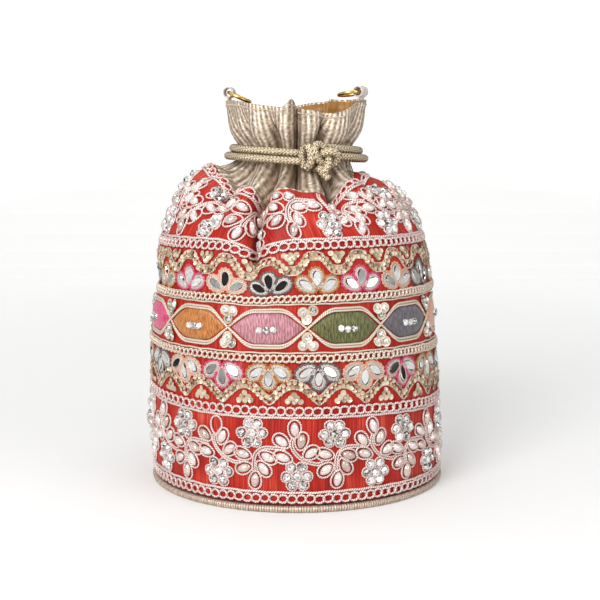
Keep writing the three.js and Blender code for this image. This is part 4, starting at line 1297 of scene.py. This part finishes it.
def make_hexagon_band():
    """Twelve hexagons with three crystals on each; double cords that run above one hexagon and below the
    next, crossing between; trefoils of sequins and crystals above and below the crossings."""
    for k, centre in enumerate(HEXAGON_CENTRES):
        make_hexagon(k + 1, centre, HEXAGON_COLOURS[k % 6])
    x = np.arange(960) / 960 * PITCH
    share = ((x - HEXAGON_CENTRES[0]) / PERIOD + 0.5) % 2
    swing = np.where(share < 1, 1, -1) * np.clip((0.5 - np.abs(share % 1 - 0.5)) / 0.26, 0, 1)
    swing = np.mean([np.roll(swing, k) for k in range(-7, 8)], axis=0)
    meshes = []
    for side in (1, -1):
        over = 0.55 + 0.25 * side * (np.abs(swing) < 0.3)
        for apart in (8.1, 9.3):
            meshes += couched(x[None], (HEXAGON_MIDDLE + side * apart * swing)[None], over[None], 0.58, True)
    build("hexagon_cords", meshes, GOLD_DORI)
    x = (HEXAGON_CENTRES[:, None] + np.array([-3.5, 0, 3.5])).ravel()
    s = HEXAGON_MIDDLE - 0.6 + rng.normal(0, 0.25, len(x))
    sewn("hexagon_crystals", chaton(1.75), x, s, 1.35, 0.14, CRYSTAL, any_way(len(x)))
    x = (HEXAGON_CENTRES[:, None] + PERIOD / 2 + TREFOILS[:, 0]).ravel()
    x = x + rng.normal(0, 0.25, len(x))
    s = np.tile(HEXAGON_MIDDLE + TREFOILS[:, 1], PERIODS) + rng.normal(0, 0.25, len(x))
    sewn("trefoil_sequins", disc(2.7, 0.55), x, s, 0.35, 0.15, PALE_SEQUIN, rings=(0.8, 0.5))
    sewn("trefoil_crystals", chaton(1.55), x, s, 0.6, 0.14, CRYSTAL, any_way(len(x)))


make_borders()
floral_band("lower_vine", foot=7.2, phase=0.0, ceiling=level(999.0), bare=110)
floral_band("upper_vine", foot=130.0, phase=25.0, ceiling=upper_ceiling, bare=None)
make_scallop("lower_scallop", middle=55.2, side=-1)
make_scallop("upper_scallop", middle=117.2, side=1)
make_flowers(
    "lower_flowers", "lower_gold_border", hub=LOWER_GOLD_FOOT, up=-1,
    colours=["grey", "peach", "magenta", "orange"], dark=None,
)
make_flowers(
    "upper_flowers", "upper_gold_border", hub=UPPER_GOLD_FOOT + GOLD_WIDTH, up=1,
    colours=["orange", "magenta", "peach", "grey"], dark=19,
)
make_hexagon_band()

for node, material in (("base_cloth", BASE_CLOTH), ("base_board", BOARD)):
    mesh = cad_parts[node].data
    mesh.materials.clear()
    mesh.materials.append(material)

# Floor, backdrop and light


def paper_sweep():
    """Matt white paper. It is lighter to the camera than to the lamps, by more far from the bag, so that it
    shows white and keeps the shadow."""
    material, tree = begin("paper sweep, matt white")
    place = add(tree, "TexCoord", output="Object")
    lens = add(tree, "LightPath", output="Is Camera Ray")
    away = add(tree, "VectorMath", {0: place}, "Value", operation="LENGTH")
    near = add(tree, "Math", {0: blend(tree, (away, 0.38), plus=0.1), 1: 0.46}, operation="MINIMUM")
    far = add(tree, "Clamp", {"Value": blend(tree, (away, 1.0), plus=-1.3), "Min": 0.0, "Max": 0.5})
    glow = add(tree, "Math", {0: lens, 1: blend(tree, (near, 1.0), (far, 1.0))}, operation="MULTIPLY")
    return dress(material, grain(tree, 4.0, 2.0), [(0.0, "E4E4E3"), (1.0, "E9E9E8")], None, {
        "Roughness": 0.9, "Emission Color": (1, 1, 1, 1), "Emission Strength": glow,
    })


def make_stage():
    """A floor that sweeps up into a backdrop: a flat profile, a quarter round and an upright, drawn out
    sideways."""
    bend = np.linspace(0, math.pi / 2, 16)
    y = np.concatenate([[-1500, 900], 900 + 600 * np.sin(bend), [1500]])
    z = np.concatenate([[0, 0], 600 - 600 * np.cos(bend), [2200]])
    x = np.array([[-2600.0], [2600.0]])
    points = np.stack(np.broadcast_arrays(x, y, z), -1)
    faces, _ = grid_faces(2, len(y), False)
    mesh = bpy.data.meshes.new("sweep")
    mesh.from_pydata((points.reshape(-1, 3) * 0.001).tolist(), [], faces.tolist())
    mesh.materials.append(paper_sweep())
    sweep = bpy.data.objects.new("sweep", mesh)
    bpy.context.scene.collection.objects.link(sweep)


def add_lamp(name, place, size, power):
    """A square soft lamp aimed at the middle of the bag."""
    data = bpy.data.lights.new(name, "AREA")
    data.shape = "RECTANGLE"
    data.size = data.size_y = size
    data.energy = power
    lamp = bpy.data.objects.new(name, data)
    lamp.location = place
    x, y, z = -place[0], -place[1], 0.1 - place[2]
    lamp.rotation_euler = (math.atan2(math.hypot(x, y), -z), 0, math.atan2(-x, y))
    bpy.context.scene.collection.objects.link(lamp)


def make_light():
    """A white room to the camera, a plain soft light to the bag, and bright and dark patches to what is
    shiny."""
    world = bpy.data.worlds.new("studio")
    bpy.context.scene.world = world
    world.use_nodes = True
    tree = world.node_tree
    lens = add(tree, "LightPath", output="Is Camera Ray")
    shiny = add(tree, "LightPath", output="Is Glossy Ray")
    way = add(tree, "TexCoord", output="Generated")
    room = add(tree, "TexNoise", {"Vector": way, "Scale": 2.6, "Detail": 1.0})
    room = add(tree, "ValToRGB", {"Fac": room}, stops=[(0.44, "35302B"), (0.52, "FFFFFF")])
    soft = add(tree, "Mix", {"Factor": shiny, "A": 0.34, "B": room})
    strength = add(tree, "Mix", {"Factor": lens, "A": soft, "B": 1.0})
    fill(tree, tree.nodes["Background"], {"Color": (1, 1, 1, 1), "Strength": strength})
    add_lamp("key", (-0.5, -1.0, 0.7), size=0.6, power=12.5)
    add_lamp("fill", (0.9, -0.7, 0.5), size=0.8, power=3.0)
    add_lamp("top", (0.0, 0.1, 1.2), size=0.9, power=4.0)
    bpy.context.scene.view_settings.view_transform = "Standard"


make_stage()
make_light()
